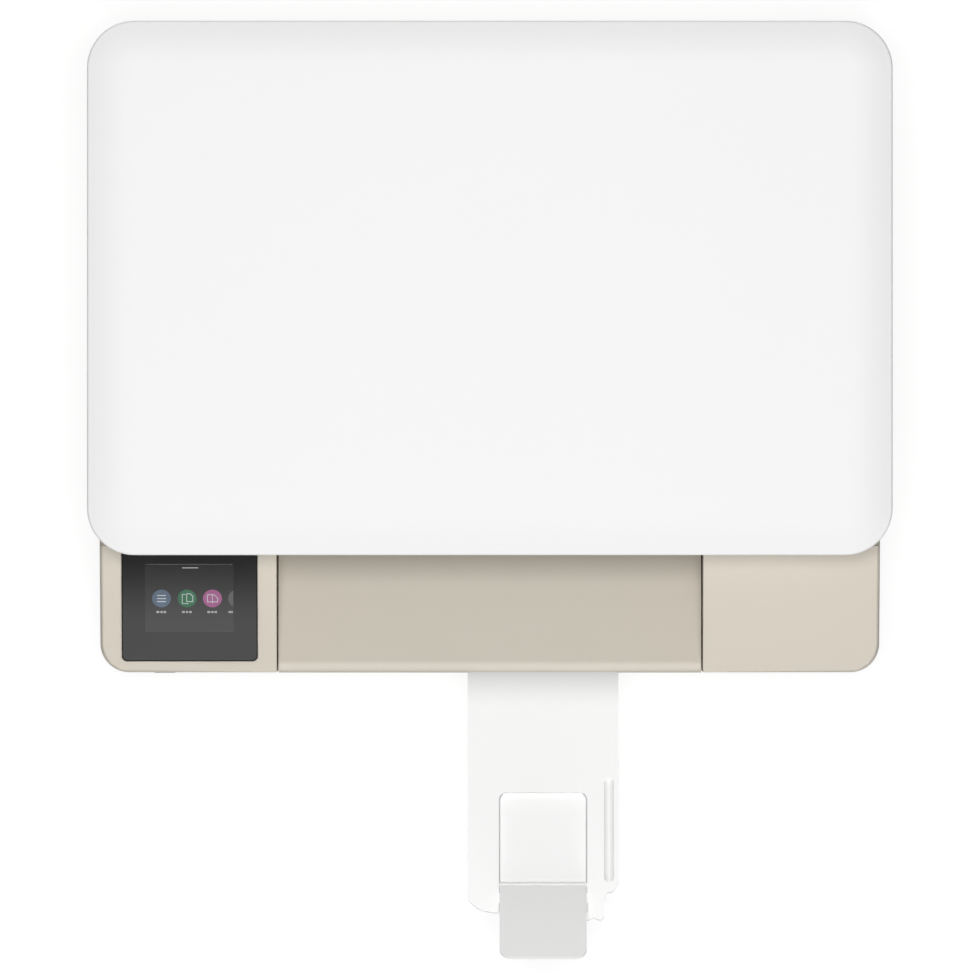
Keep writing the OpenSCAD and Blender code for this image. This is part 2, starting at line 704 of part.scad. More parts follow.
// Front-loading paper tray with a finger scoop, guide slots and a lead-out ramp
module paper_tray() {
    face = 1.2;
    panel = 2.5;
    low_side = tray_top - 6;
    scoop = 38;
    scoop_d = 14;
    scoop_z = tray_top - 15;
    stem_y = rack_m * pinion_teeth / 2 + 1.3 * rack_m;
    color(beige) placed() {
        difference() {
            union() {
                span(-tray_half, tray_half, face, face + panel, cover_z, tray_top);
                span(-tray_half, tray_half, face + panel, tray_back, tray_floor - tray_t, tray_floor);
                both_sides() span(tray_half - tray_t, tray_half, face + panel, tray_back, tray_z, low_side);
                span(-tray_half, tray_half, tray_back - tray_t, tray_back, tray_z, tray_floor + 15);
                along_x(-tray_half, tray_half) polygon([[tray_back - 7, tray_floor - 0.1],
                    [tray_back - tray_t + 0.1, tray_floor - 0.1], [tray_back - tray_t + 0.1, tray_floor + 15]]);
                span(-scoop - tray_t, scoop + tray_t, face + 1, face + scoop_d + tray_t, scoop_z - tray_t, tray_top);
            }
            span(-scoop, scoop, face - 1, face + scoop_d, scoop_z, tray_top + 1);
            // slots for the stems of the width guides and of the length guide
            for (s = [-1, 1]) {
                far = s * (paper_w / 2 + 8.6);
                near = s * (paper_w / 2 - guide_travel + 1.4);
                ya = pinion_y - s * stem_y;
                yb = pinion_y - s * (stem_y + 6);
                span(min(far, near), max(far, near), min(ya, yb), max(ya, yb), tray_z, tray_floor + 1);
            }
            span(-4.4, 4.4, paper_y0 - 4.4, paper_y0 + length_travel + 4.4, tray_z, tray_floor + 1);
        }
        // stud of the guide pinion
        bar_z(0, pinion_y, tray_floor - tray_t - 5, tray_floor - tray_t + 0.1, 2.5);
    }
}

// Width guide of the left side: upright, foot, stem and toothed rack under the floor
module width_guide(half_pitch) {
    pitch_r = rack_m * pinion_teeth / 2;
    pitch = PI * rack_m;
    tip = pitch_r - 0.8 * rack_m;
    root = pitch_r + 1.05 * rack_m;
    grip = tan(pressure);
    flank = pitch / 4 - 0.1 * rack_m;
    teeth = ceil((guide_travel + 8) / pitch);
    rack_t = 4;
    rack_z = tray_floor - tray_t - seam - rack_t;
    x0 = -paper_w / 2;
    y1 = root + 5.4;
    translate([0, pinion_y, 0]) {
        translate([0, 0, rack_z]) linear_extrude(rack_t) {
            polygon([[x0 - 8, root - 0.01], [10, root - 0.01], [10, y1], [x0 - 8, y1]]);
            for (i = [-teeth:1]) translate([(i + half_pitch) * pitch, 0]) polygon([
                [-flank - (root - pitch_r) * grip, root], [-flank + (pitch_r - tip) * grip, tip],
                [flank - (pitch_r - tip) * grip, tip], [flank + (root - pitch_r) * grip, root]]);
        }
        span(x0 - 8, x0 - 2, root + 0.6, y1 - 0.4, rack_z + rack_t - 0.1, tray_floor + 1);
        span(x0 - 10, x0, -50, 50, tray_floor + seam, tray_floor + seam + 2);
        span(x0 - 2.2, x0, -50, 50, tray_floor + seam, tray_floor + 24);
        for (y = [-40, -1, 38])
            along_y(y, y + 2) polygon([[x0 - 10, tray_floor + 2], [x0 - 1, tray_floor + 2], [x0 - 1, tray_floor + 20]]);
    }
}
module width_guide_left() { color([0.78, 0.78, 0.76]) placed() width_guide(0); }
module width_guide_right() {
    color([0.78, 0.78, 0.76]) placed() translate([0, 2 * pinion_y, 0]) rotate([0, 0, 180])
        width_guide((pinion_teeth % 2) / 2);
}

// Pinion that couples the two width guides
module guide_pinion() {
    t = 4;
    color([0.9, 0.9, 0.88]) placed() translate([0, pinion_y, tray_floor - tray_t - seam - t]) difference() {
        linear_extrude(t) gear_outline(rack_m, pinion_teeth, 90 + 180 / pinion_teeth);
        translate([0, 0, -1]) cylinder(r = 2.5 + shaft_fit, h = t + 2, $fn = 48);
    }
}

// Length guide against the front edge of the paper
module length_guide() {
    top = tray_top - 15 - tray_t - 1;
    color([0.78, 0.78, 0.76]) placed() {
        span(-30, 30, paper_y0 - 2.5, paper_y0, tray_floor + seam, top);
        span(-30, 30, paper_y0 - 3.5, paper_y0 + 8, tray_floor + seam, tray_floor + seam + 2);
        span(-4, 4, paper_y0 - 4, paper_y0 + 4, tray_floor - tray_t - seam, tray_floor + seam + 0.1);
        span(-9, 9, paper_y0 - 4, paper_y0 + 8, tray_floor - tray_t - seam - 2, tray_floor - tray_t - seam);
    }
}

// ---------------------------------------------------------------- print engine

// Engine frame: ceiling of the tray bay, its legs, and the bearing plates
module engine_frame() {
    y0 = fascia_d + 2;
    ear_x = 22;
    ear_t = 3;
    top = paper_z - 1;
    shaft = feed_shaft_r + shaft_fit;
    color(dark) placed() difference() {
        union() {
            span(-frame_x - bay_t, frame_x + bay_t, y0, tray_back + 3, bay_z, bay_z + bay_t);
            span(seam - bin_half, bin_half - seam, 4, y0, bay_z, bay_z + bay_t);
            both_sides() {
                span(frame_x, frame_x + bay_t, y0, tray_back + 3, pan_z, bay_z);
                along_x(frame_x, frame_x + bay_t) polygon([[bed_end, bay_z], [turn_y + 14, bay_z],
                    [turn_y + 14, turn_z + 12], [turn_y - 14, top], [exit_y + 8, top],
                    [exit_y + 8, paper_z + 8], [bed_end, paper_z + 8]]);
                span(ear_x, ear_x + ear_t, pick_y - 5, pick_y + 5, bay_z + bay_t - 0.1, pick_z);
                bar_x(ear_x, ear_x + ear_t, pick_y, pick_z, 5);
            }
            for (y = [fascia_d + 30, feed_y])
                span(3 - bin_half, bin_half - 3, y, y + wall, bay_z + bay_t - 0.1, bay_z + bay_t + 6);
        }
        bar_x(-frame_x - 9, frame_x + 9, feed_y, feed_z, shaft);
        bar_x(-frame_x - 9, frame_x + 9, exit_y, exit_z, exit_shaft_r + shaft_fit);
        bar_x(-frame_x - 9, frame_x + 9, turn_y, turn_z, turn_shaft_r + shaft_fit);
        bar_x(-ear_x - 9, ear_x + 9, pick_y, pick_z, pick_shaft_r + shaft_fit);
        // window for the pick arm
        span(-18, 18, pick_y + 7, pick_y + pick_len + pick_r + 7, bay_z - 1, bay_z + bay_t + 1);
    }
}

// Ribbed platen between the rollers
module platen() {
    y0 = exit_y + exit_r + 1.5;
    y1 = feed_y - feed_r - 1.5;
    base = paper_z - 11;
    pitch = 12;
    color([0.15, 0.15, 0.15]) placed() {
        span(seam - frame_x, frame_x - seam, y0, y1, base, base + 3);
        for (x = [-9:9])
            along_x(x * pitch - 0.8, x * pitch + 0.8) polygon([[y0, base + 2.9], [y1, base + 2.9],
                [y1, paper_z - 2], [y1 - 3, paper_z], [y0 + 3, paper_z], [y0, paper_z - 2]]);
    }
}

// Chute that leads the paper from the turn roller to the feed roller
module rear_paper_guide() {
    y0 = feed_y + feed_r + 2;
    y1 = turn_y - turn_r - 2;
    z0 = paper_z - 3;
    z1 = turn_z + turn_r - 2;
    color([0.15, 0.15, 0.15]) placed() {
        along_x(seam - frame_x, frame_x - seam) polygon([[y0, z0 - 2], [y1, z1 - 2], [y1, z1], [y0, z0]]);
        for (x = [-5:5]) along_x(x * 20 - 0.8, x * 20 + 0.8) polygon([[y0, z0 - 0.1], [y1, z1 - 0.1],
            [y1, z1 + 1], [y1 - 20, z1 + 3], [y0 + 3, z0 + 2.5], [y0, z0 + 1]]);
        for (x = [-90, 90]) span(x, x + 2, y0 + 20, y0 + 60, bay_z + bay_t, z1 - 1);
    }
}

// Feed roller: a coated steel bar turned down to its journals
module feed_roller() {
    color(steel) placed() {
        bar_x(-plate_x - 2.5, frame_x + bay_t + 2, feed_y, feed_z, feed_shaft_r);
        bar_x(-roller_half, roller_half, feed_y, feed_z, feed_r);
    }
}
module feed_gear() { color(white) placed() drive_gear(feed_c, feed_teeth, 0, feed_shaft_r); }

module exit_shaft() {
    color(steel) placed() bar_x(-plate_x - 2.5, frame_x + bay_t + 2, exit_y, exit_z, exit_shaft_r);
}

// Rubber rolls on the exit shaft
module exit_rolls() {
    color([0.12, 0.12, 0.12]) placed() for (x = [-95:38:95]) difference() {
        bar_x(x - 5, x + 5, exit_y, exit_z, exit_r);
        bar_x(x - 6, x + 6, exit_y, exit_z, exit_shaft_r);
    }
}
module exit_gear() { color(white) placed() drive_gear(exit_c, exit_teeth, exit_phase, exit_shaft_r); }
module idler_gear() {
    color(white) placed() drive_gear(idler_c, idler_teeth, idler_phase, stud_r + shaft_fit);
}

// Motor pinion with its shaft
module motor_pinion() {
    color([0.8, 0.7, 0.4]) placed() {
        drive_gear(motor_c, motor_teeth, motor_phase, 0.5);
        bar_x(-plate_x - 14, -gear_x + 0.5, motor_c[0], motor_c[1], pin_r);
    }
}

// Feed motor on the outer face of the drive plate
module feed_motor() {
    color(steel) placed() difference() {
        union() {
            bar_x(-plate_x - 31.5, -plate_x - 1.5, motor_c[0], motor_c[1], 15);
            bar_x(-plate_x - 34, -plate_x - 31.5, motor_c[0], motor_c[1], 5);
        }
        bar_x(-plate_x - 15, -plate_x, motor_c[0], motor_c[1], pin_r + shaft_fit);
    }
}

// Steel plate that carries the gear shafts, the idler's stud and the feed motor
module drive_plate() {
    t = 1.5;
    foot = 12;
    color(steel) placed() difference() {
        union() {
            along_x(-plate_x - t, -plate_x) polygon([[exit_y - 10, pan_z], [feed_y + 20, pan_z],
                [feed_y + 20, feed_z], [feed_y + 8, paper_z + 1.4], [exit_y - 2, paper_z + 1.4],
                [exit_y - 10, exit_z]]);
            span(-plate_x - foot, -plate_x, exit_y - 10, feed_y + 20, pan_z, pan_z + t);
            bar_x(-plate_x, -gear_x + 1.5, idler_c[0], idler_c[1], stud_r);
        }
        bar_x(-plate_x - 9, -plate_x + 1, feed_y, feed_z, feed_shaft_r + shaft_fit);
        bar_x(-plate_x - 9, -plate_x + 1, exit_y, exit_z, exit_shaft_r + shaft_fit);
        bar_x(-plate_x - 9, -plate_x + 0.5, motor_c[0], motor_c[1], 4);
    }
}

// Pinch rollers above the feed roller, on one thin shaft
module pinch_rollers() {
    color([0.85, 0.85, 0.85]) placed() {
        bar_x(-117, 117, feed_y, pinch_z, pin_r);
        for (x = [-95:38:95]) bar_x(x - 10, x + 10, feed_y, pinch_z, pinch_r);
    }
}

// Holder of the pinch rollers, reaching forward from the carriage rail
module pinch_holder() {
    top = carriage_z - 1.8;
    color([0.15, 0.15, 0.15]) placed() difference() {
        union() {
            span(-116, 116, feed_y + 14, rail_y - seam, top - 2.5, top);
            for (x = [-114:38:114]) {
                bar_x(x - 2, x + 2, feed_y, pinch_z, 3);
                span(x - 2, x + 2, feed_y, feed_y + 15, pinch_z - 2, top);
            }
        }
        bar_x(-120, 120, feed_y, pinch_z, pin_r + shaft_fit);
    }
}

// Star wheels above the exit rolls, on one thin shaft
module star_wheels() {
    points = 12;
    color(steel) placed() {
        bar_x(-117, 117, exit_y, star_z, 1);
        for (x = [-95:38:95]) for (dx = [-5, 5]) translate([0, exit_y, star_z]) along_x(x + dx - 0.6, x + dx + 0.6)
            polygon([for (i = [0:2 * points - 1]) polar(i % 2 == 0 ? pinch_r : pinch_r - 1, 180 * i / points)]);
    }
}

// Bar that carries the star wheels between the bearing plates
module star_holder() {
    y0 = bed_end + 0.6;
    top = carriage_z - 1;
    color([0.15, 0.15, 0.15]) placed() difference() {
        union() {
            span(seam - frame_x, frame_x - seam, y0, y0 + 2.4, paper_z + 2, top);
            for (x = [-114:38:114]) {
                bar_x(x - 2, x + 2, exit_y, star_z, 2.5);
                span(x - 2, x + 2, y0, exit_y, star_z - 2, star_z + 2);
            }
        }
        bar_x(-120, 120, exit_y, star_z, 1 + shaft_fit);
    }
}

// Steel side frames that hold the guide rod and the carriage rail
module side_frames() {
    color(steel) placed() both_sides() difference() {
        union() {
            along_x(side_x, side_x + side_t) polygon([[rod_y - 25, pan_z], [rail_y + 6, pan_z],
                [rail_y + 6, deck_z - wall - seam], [rod_y - 14, deck_z - wall - seam], [rod_y - 25, rod_z - 10]]);
            span(side_x - 10, side_x, rod_y - 25, rail_y + 6, pan_z, pan_z + side_t);
        }
        bar_x(side_x - 9, side_x + 9, rod_y, rod_z, rod_r);
    }
}
module guide_rod() { color(steel) placed() bar_x(-side_x - side_t, side_x + side_t, rod_y, rod_z, rod_r); }

// Folded steel rail behind the carriage, with tabs for the belt motor and the idler
module carriage_rail() {
    t = 1.5;
    top = belt_z + belt_h + 7;
    x1 = side_x - seam;
    tab = 30;
    color(steel) placed() {
        difference() {
            union() {
                span(-x1, x1, rail_y, rail_y + t, pinch_z, top);
                span(-x1, x1, rail_y - 8, rail_y + t, top - t, top);
                both_sides() span(x1 - tab, x1, belt_y - 10, rail_y + 0.1, belt_z - 2 - t, belt_z - 2);
            }
            bar_z(-drive_x, belt_y, belt_z - 9, belt_z, 3);
        }
        bar_z(drive_x, belt_y, belt_z - 2.1, belt_z + belt_h + 1.5, pin_r);
    }
}

// Carriage: cartridge cradle with bushings, print heads, belt clip and rear shoe
module carriage() {
    hw = carriage_w / 2;
    t = 2;
    back = feed_y - 2;
    top = carriage_top;
    front_run = belt_y - pulley_r - 0.1 - belt_t / 2;
    rail_under = belt_z + belt_h + 5.5;
    color([0.17, 0.17, 0.18]) placed() translate([carriage_x, 0, 0]) {
        difference() {
            union() {
                span(-hw, hw, carriage_y, back, carriage_z, carriage_z + t);
                both_sides() span(hw - t, hw, carriage_y, back, carriage_z, top);
                span(-1, 1, carriage_y, back, carriage_z, top - 6);
                span(-hw, hw, back - 0.1, back + t, carriage_z, top);
                bar_x(-hw, hw, rod_y, rod_z, rod_r + 3);
                span(-hw, hw, back, rod_y, rod_z - 5, rod_z + 5);
                span(-6, 6, rod_y, front_run + 3, belt_z - 2, belt_z + belt_h + 1.8);
                span(-10, 10, back, rail_y - 3, rail_under - 3, rail_under - seam);
                both_sides() span(4, hw - 5, exit_y + 12, feed_y - 12, paper_z + 2, carriage_z + 0.1);
            }
            bar_x(-hw - 1, hw + 1, rod_y, rod_z, rod_r + shaft_fit);
            span(-7, 7, front_run - belt_t / 2 - 0.35, front_run + belt_t / 2 + 0.35,
                belt_z - 0.4, belt_z + belt_h + 0.4);
        }
    }
}

// Ink cartridge at x0..x1 of the carriage: stepped body with a grip at the front
module cartridge(x0, x1) {
    y0 = carriage_y + 0.6;
    y1 = feed_y - 2.6;
    z0 = carriage_z + 2.3;
    z1 = carriage_top - 1;
    placed() translate([carriage_x, 0, 0]) along_x(x0, x1) polygon([[y0, z0 + 2], [y0 + 2, z0], [y1, z0],
        [y1, z1 - 4], [y1 - 4, z1 - 2], [y0 + 16, z1 - 2], [y0 + 14, z1], [y0 + 3, z1], [y0 + 1, z1 - 3],
        [y0 + 5, z1 - 6], [y0, z1 - 14]]);
}
module cartridge_black() { color([0.08, 0.08, 0.08]) cartridge(1.6 - carriage_w / 2 + 1, -1.6); }
module cartridge_colour() { color([0.25, 0.25, 0.28]) cartridge(1.6, carriage_w / 2 - 2.6); }

// Timing belt round the motor pulley and the idler
module carriage_belt() {
    r = pulley_r + 0.1;
    color([0.1, 0.1, 0.1]) placed() translate([0, 0, belt_z]) linear_extrude(belt_h) difference() {
        polygon(concat(arc([drive_x, belt_y], r + belt_t, -90, 90, 20), arc([-drive_x, belt_y], r + belt_t, 90, 270, 20)));
        polygon(concat(arc([drive_x, belt_y], r, -90, 90, 20), arc([-drive_x, belt_y], r, 90, 270, 20)));
    }
}

// Flanged pulley about a z axis
module pulley(bore_r) {
    difference() {
        union() {
            cylinder(r = pulley_r, h = belt_h, $fn = 64);
            translate([0, 0, -1.3]) cylinder(r = pulley_r + 1.5, h = 1, $fn = 64);
            translate([0, 0, -0.4]) cylinder(r = pulley_r - 1, h = belt_h + 0.8, $fn = 64);
            translate([0, 0, belt_h + 0.3]) cylinder(r = pulley_r + 1.5, h = 1, $fn = 64);
        }
        translate([0, 0, -5]) cylinder(r = bore_r, h = belt_h + 10, $fn = 48);
    }
}

// Drive pulley on the carriage motor's shaft
module belt_pulley() {
    color([0.8, 0.8, 0.8]) placed() {
        translate([-drive_x, belt_y, belt_z]) pulley(0.5);
        bar_z(-drive_x, belt_y, belt_z - 16, belt_z + 1, pin_r);
    }
}
module belt_idler() { color([0.8, 0.8, 0.8]) placed() translate([drive_x, belt_y, belt_z]) pulley(pin_r + shaft_fit); }

// Carriage motor hung under the rail's left tab
module carriage_motor() {
    top = belt_z - 3.5;
    color(steel) placed() difference() {
        bar_z(-drive_x, belt_y, top - 26, top, 11);
        bar_z(-drive_x, belt_y, top - 13.5, top + 1, pin_r + shaft_fit);
    }
}

// Service station under the parked carriage: four legs, a sled with two caps and a wiper
module service_station() {
    hw = carriage_w / 2 - 4;
    y0 = exit_y + 8;
    y1 = feed_y - 8;
    deck = paper_z - 17;
    leg = 6;
    color([0.3, 0.3, 0.32]) placed() translate([carriage_x, 0, 0]) {
        span(-hw, hw, y0, y1, deck, deck + 10);
        for (x = [-hw, hw - leg]) for (y = [y0, y1 - leg]) span(x, x + leg, y, y + leg, pan_z, deck + 0.1);
        both_sides() difference() {
            span(4, hw - 1, exit_y + 11, feed_y - 11, deck + 9.9, paper_z + 1.6);
            span(6, hw - 3, exit_y + 13, feed_y - 13, paper_z - 1, paper_z + 3);
        }
        span(-hw + 0.5, -hw - 1 + 2.5, y0 + 3, y1 - 3, deck + 9.9, paper_z + 1.4);
    }
}

// Large roller that turns the paper over from the tray into the chute
module turn_roller() {
    color([0.15, 0.15, 0.15]) placed() {
        bar_x(-frame_x - bay_t - 1, frame_x + bay_t + 1, turn_y, turn_z, turn_shaft_r);
        for (x = [-100:50:100]) bar_x(x - 8, x + 8, turn_y, turn_z, turn_r);
        bar_x(-100, 100, turn_y, turn_z, turn_r - 5);
    }
}

// Pick arm: its pivot shaft and two cheeks that carry the pick roller
module pick_arm() {
    dy = pick_len * cos(pick_rest);
    dz = -pick_len * sin(pick_rest);
    cheek = 11;
    color([0.75, 0.76, 0.76]) placed() translate([0, pick_y, pick_z]) difference() {
        union() {
            bar_x(-26, 26, 0, 0, pick_shaft_r);
            bar_x(-cheek - 3, cheek + 3, 0, 0, 6);
            both_sides() {
                bar_x(cheek, cheek + 2.6, dy, dz, 5);
                rotate([-pick_rest, 0, 0]) span(cheek, cheek + 2, 0, pick_len, -4, 4);
            }
            rotate([-pick_rest, 0, 0]) span(-cheek - 1, cheek + 1, 3, pick_len - pick_r - 2, 1.5, 3.5);
        }
        bar_x(-cheek - 3, cheek + 3, dy, dz, pin_r + shaft_fit);
    }
}

// Rubber-tyred pick roller with its stub shaft
module pick_roller() {
    color([0.12, 0.12, 0.12]) placed()
        translate([0, pick_y + pick_len * cos(pick_rest), pick_z - pick_len * sin(pick_rest)]) {
            bar_x(-10.5, 10.5, 0, 0, pick_r);
            bar_x(-12.8, 12.8, 0, 0, pin_r);
        }
}

// Rear access door with curved guide ribs inside and a round lower edge on two pins
module rear_door() {
    r = 2.7;
    guide_r = turn_r + 4;
    top = door_high - seam;
    color(beige) placed() {
        span(-door_half, door_half, body_d - wall, body_d, door_axis[1], top);
        bar_x(-door_half, door_half, door_axis[0], door_axis[1], r);
        bar_x(-door_half - 3.2, door_half + 3.2, door_axis[0], door_axis[1], pin_r);
        for (x = [-100:25:100]) along_x(x - 0.8, x + 0.8) polygon(concat(
            arc([turn_y, turn_z], guide_r, -20, 48, 8), [[body_d - wall + 0.1, turn_z + guide_r * sin(48) + 6],
            [body_d - wall + 0.1, turn_z - guide_r * sin(20)]]));
        // finger ledge
        along_x(-20, 20) polygon([[body_d - wall + 0.1, top - 12], [body_d - wall - 4, top - 8], [body_d - wall - 4, top - 6],
            [body_d - wall + 0.1, top - 6]]);
    }
}

// Main board on edge beside the tray bay, with its parts, feet and data port
module main_board() {
    t = 1.6;
    x0 = usb_x;
    y0 = rail_y + 12;
    y1 = body_d - wall - 3;
    color([0.1, 0.35, 0.2]) placed() {
        span(x0, x0 + t, y0, y1, pan_z + 4, usb_z + 48);
        for (y = [y0 + 8, y1 - 14]) span(x0 - 3, x0 + 5, y, y + 6, pan_z, pan_z + 4.1);
        for (i = [0:3]) span(x0 + t - 0.1, x0 + t + 2 + i, y0 + 10 + 30 * i, y0 + 28 + 30 * i, usb_z + 14, usb_z + 34);
        bar_x(x0 + t - 0.1, x0 + t + 10, y0 + 20, usb_z - 6, 4);
        bar_x(x0 + t - 0.1, x0 + t + 10, y0 + 34, usb_z - 6, 4);
        difference() {
            span(x0 - 6, x0 + 6, body_d - 20, body_d - 0.4, usb_z - 5.5, usb_z + 5.5);
            span(x0 - 4.6, x0 + 4.6, body_d - 15, body_d + 1, usb_z - 4.2, usb_z + 4.2);
        }
        span(x0 - 2.8, x0 + 2.8, body_d - 15.1, body_d - 6.5, usb_z - 1.6, usb_z + 1.6);
    }
}

// Power supply in its case, with the two-pin mains inlet at the rear
module power_supply() {
    y0 = rail_y + 20;
    y1 = body_d - wall - seam;
    lobe = 4.3;
    lobe_r = 4.2;
    deep = 14;
    color([0.13, 0.13, 0.13]) placed() {
        difference() {
            union() {
                span(supply_x0, supply_x1, y0, y1, pan_z, inlet_z + 28.8);
                span(inlet_x - 14, inlet_x + 14, y1 - 1, body_d - 0.4, inlet_z - 9, inlet_z + 9);
            }
            translate([inlet_x, body_d - deep, inlet_z]) rotate([-90, 0, 0]) {
                for (x = [-lobe, lobe]) translate([x, 0, 0]) cylinder(r = lobe_r, h = deep + 1, $fn = 48);
                translate([-lobe, -lobe_r, 0]) cube([2 * lobe, 2 * lobe_r, deep + 1]);
            }
            // cooling slots in the case's upper face
            for (y = [y0 + 12:10:y1 - 30]) span(supply_x0 + 8, supply_x1 - 8, y, y + 4, inlet_z + 26, inlet_z + 30);
        }
        for (x = [-lobe, lobe]) translate([inlet_x + x, body_d - deep - 0.1, inlet_z]) rotate([-90, 0, 0])
            cylinder(r = 1.2, h = deep - 2, $fn = 24);
    }
}

// ---------------------------------------------------------------- scanner

// Scanner tub: rounded base, hinge notches and knuckles, rod brackets and sockets of the lid hinges
module scanner_base() {
    floor_t = 2.2;
    bottom_r = 6;
    hw = scan_w / 2;
    top = scan_top - scan_frame_t;
    inner = scan_z + floor_t;
    sx = socket_half;
    section = concat([[-scanner_r, scan_z]], arc([-bottom_r, scan_z + bottom_r], bottom_r, -90, 0),
        [[0, top], [-wall, top], [-wall, scan_z + bottom_r]],
        arc([-bottom_r, scan_z + bottom_r], bottom_r - floor_t, 0, -90, 4), [[-scanner_r, inner]]);
    notch_top = scan_axis[1] + 5;
    color(white) placed() difference() {
        union() {
            rim(scan_w, scan_front, scan_rear, scanner_r, section);
            span(scanner_r - hw, hw - scanner_r, scan_front + scanner_r, scan_rear - scanner_r, scan_z, inner);
            both_sides() {
                // socket of the lid hinge
                span(lid_hinge_x - sx - 2, lid_hinge_x + sx + 2, post_y - post_t / 2 - 2.5, post_y + post_t / 2 + 2.5,
                    scan_z + 1, top);
                // bracket of the scan rod
                span(hw - 18, hw - 12, scan_mid - 8, scan_mid + 8, inner - 0.1, scan_rod_z + 6);
                // housing round the scanner hinge
                span(scan_hinge_x - 9, scan_hinge_x + 9, scan_axis[0] - 7, scan_rear - 1, scan_z + 1, notch_top + 2);
            }
        }
        both_sides() {
            span(lid_hinge_x - sx - 0.3, lid_hinge_x + sx + 0.3, post_y - post_t / 2 - seam, post_y + post_t / 2 + seam,
                scan_z + 2, top + 1);
            bar_x(hw - 19, hw - 13, scan_mid, scan_rod_z, scan_rod_r);
            span(scan_hinge_x - 6.6, scan_hinge_x + 6.6, scan_axis[0] - 5, scan_rear + 1, scan_z - 1, notch_top);
        }
    }
    // knuckles with their pins
    color(white) placed() both_sides() {
        span(scan_hinge_x - 2.6, scan_hinge_x + 2.6, scan_axis[0] - 2, scan_axis[0] + 2, scan_axis[1], notch_top + 0.1);
        bar_x(scan_hinge_x - 2.6, scan_hinge_x + 2.6, scan_axis[0], scan_axis[1], 3.2);
        bar_x(scan_hinge_x - 6.3, scan_hinge_x + 6.3, scan_axis[0], scan_axis[1], pin_r);
    }
}

// Top frame round the scan glass, with a ledge below and slots for the lid hinges
module scanner_frame() {
    hw = scan_w / 2;
    low = scan_top - scan_frame_t;
    gx = scan_glass_w / 2 + seam;
    gy = scan_glass_d / 2 + seam;
    ledge = 4;
    color(white) placed() difference() {
        union() {
            rim(scan_w, scan_front, scan_rear, scanner_r, [[-scanner_r, low], [0, low], [0, scan_top - 0.8],
                [-0.8, scan_top], [-scanner_r, scan_top]]);
            span(scanner_r - hw, hw - scanner_r, scan_front + scanner_r, scan_rear - scanner_r, low, scan_top);
            span(-gx - 2, gx + 2, scan_mid - gy - 2, scan_mid + gy + 2, low - 2, low + 1);
        }
        span(-gx, gx, scan_mid - gy, scan_mid + gy, low, scan_top + 1);
        span(ledge - gx, gx - ledge, scan_mid - gy + ledge, scan_mid + gy - ledge, low - 3, low + 1);
        both_sides() span(lid_hinge_x - socket_half - 0.3, lid_hinge_x + socket_half + 0.3,
            post_y - post_t / 2 - seam, post_y + post_t / 2 + seam, low - 1, scan_top + 1);
    }
}

module scan_glass() {
    low = scan_top - scan_frame_t;
    color([0.6, 0.75, 0.75, 0.5]) placed() span(-scan_glass_w / 2, scan_glass_w / 2,
        scan_mid - scan_glass_d / 2, scan_mid + scan_glass_d / 2, low, low + 2.5);
}

module scan_rod() {
    color(steel) placed() bar_x(13 - scan_w / 2, scan_w / 2 - 13, scan_mid, scan_rod_z, scan_rod_r);
}

// Scan head: long sensor bar with a bushing on the rod and skids at both ends
module scan_head() {
    hw = 10;
    top = scan_top - scan_frame_t - 2.6;
    low = scan_rod_z + 4;
    half = scan_glass_d / 2 + 3;
    color([0.16, 0.16, 0.17]) placed() translate([head_x, scan_mid, 0]) difference() {
        union() {
            span(-hw, hw, -half, half, low, top);
            bar_x(-hw, hw, 0, scan_rod_z, scan_rod_r + 2);
            span(-hw, hw, -5, 5, scan_rod_z, low + 0.1);
            for (y = [-half + 4, half - 10]) span(-6, 6, y, y + 6, scan_z + 4.8, low + 0.1);
        }
        bar_x(-hw - 1, hw + 1, 0, scan_rod_z, scan_rod_r + shaft_fit);
        // window of the sensor
        span(-2, 2, -half + 6, half - 6, top - 1, top + 1);
    }
}

// Curved prop arms about the scanner hinge, running down through the deck
module prop_arms() {
    sweep = 52;
    top = 180 + asin(1 / (prop_r + prop_h / 2));
    outer = prop_r + prop_h / 2;
    inner = prop_r - prop_h / 2;
    color([0.2, 0.2, 0.2]) placed() both_sides() intersection() {
        along_x(prop_x, prop_x + prop_t) polygon(concat(
            arc(scan_axis, outer, 180, 180 + sweep, 24), arc(scan_axis, inner, 180 + sweep, 180, 24)));
        span(0, body_w, 0, body_d, 0, scan_z);
    }
}

// ---------------------------------------------------------------- lid

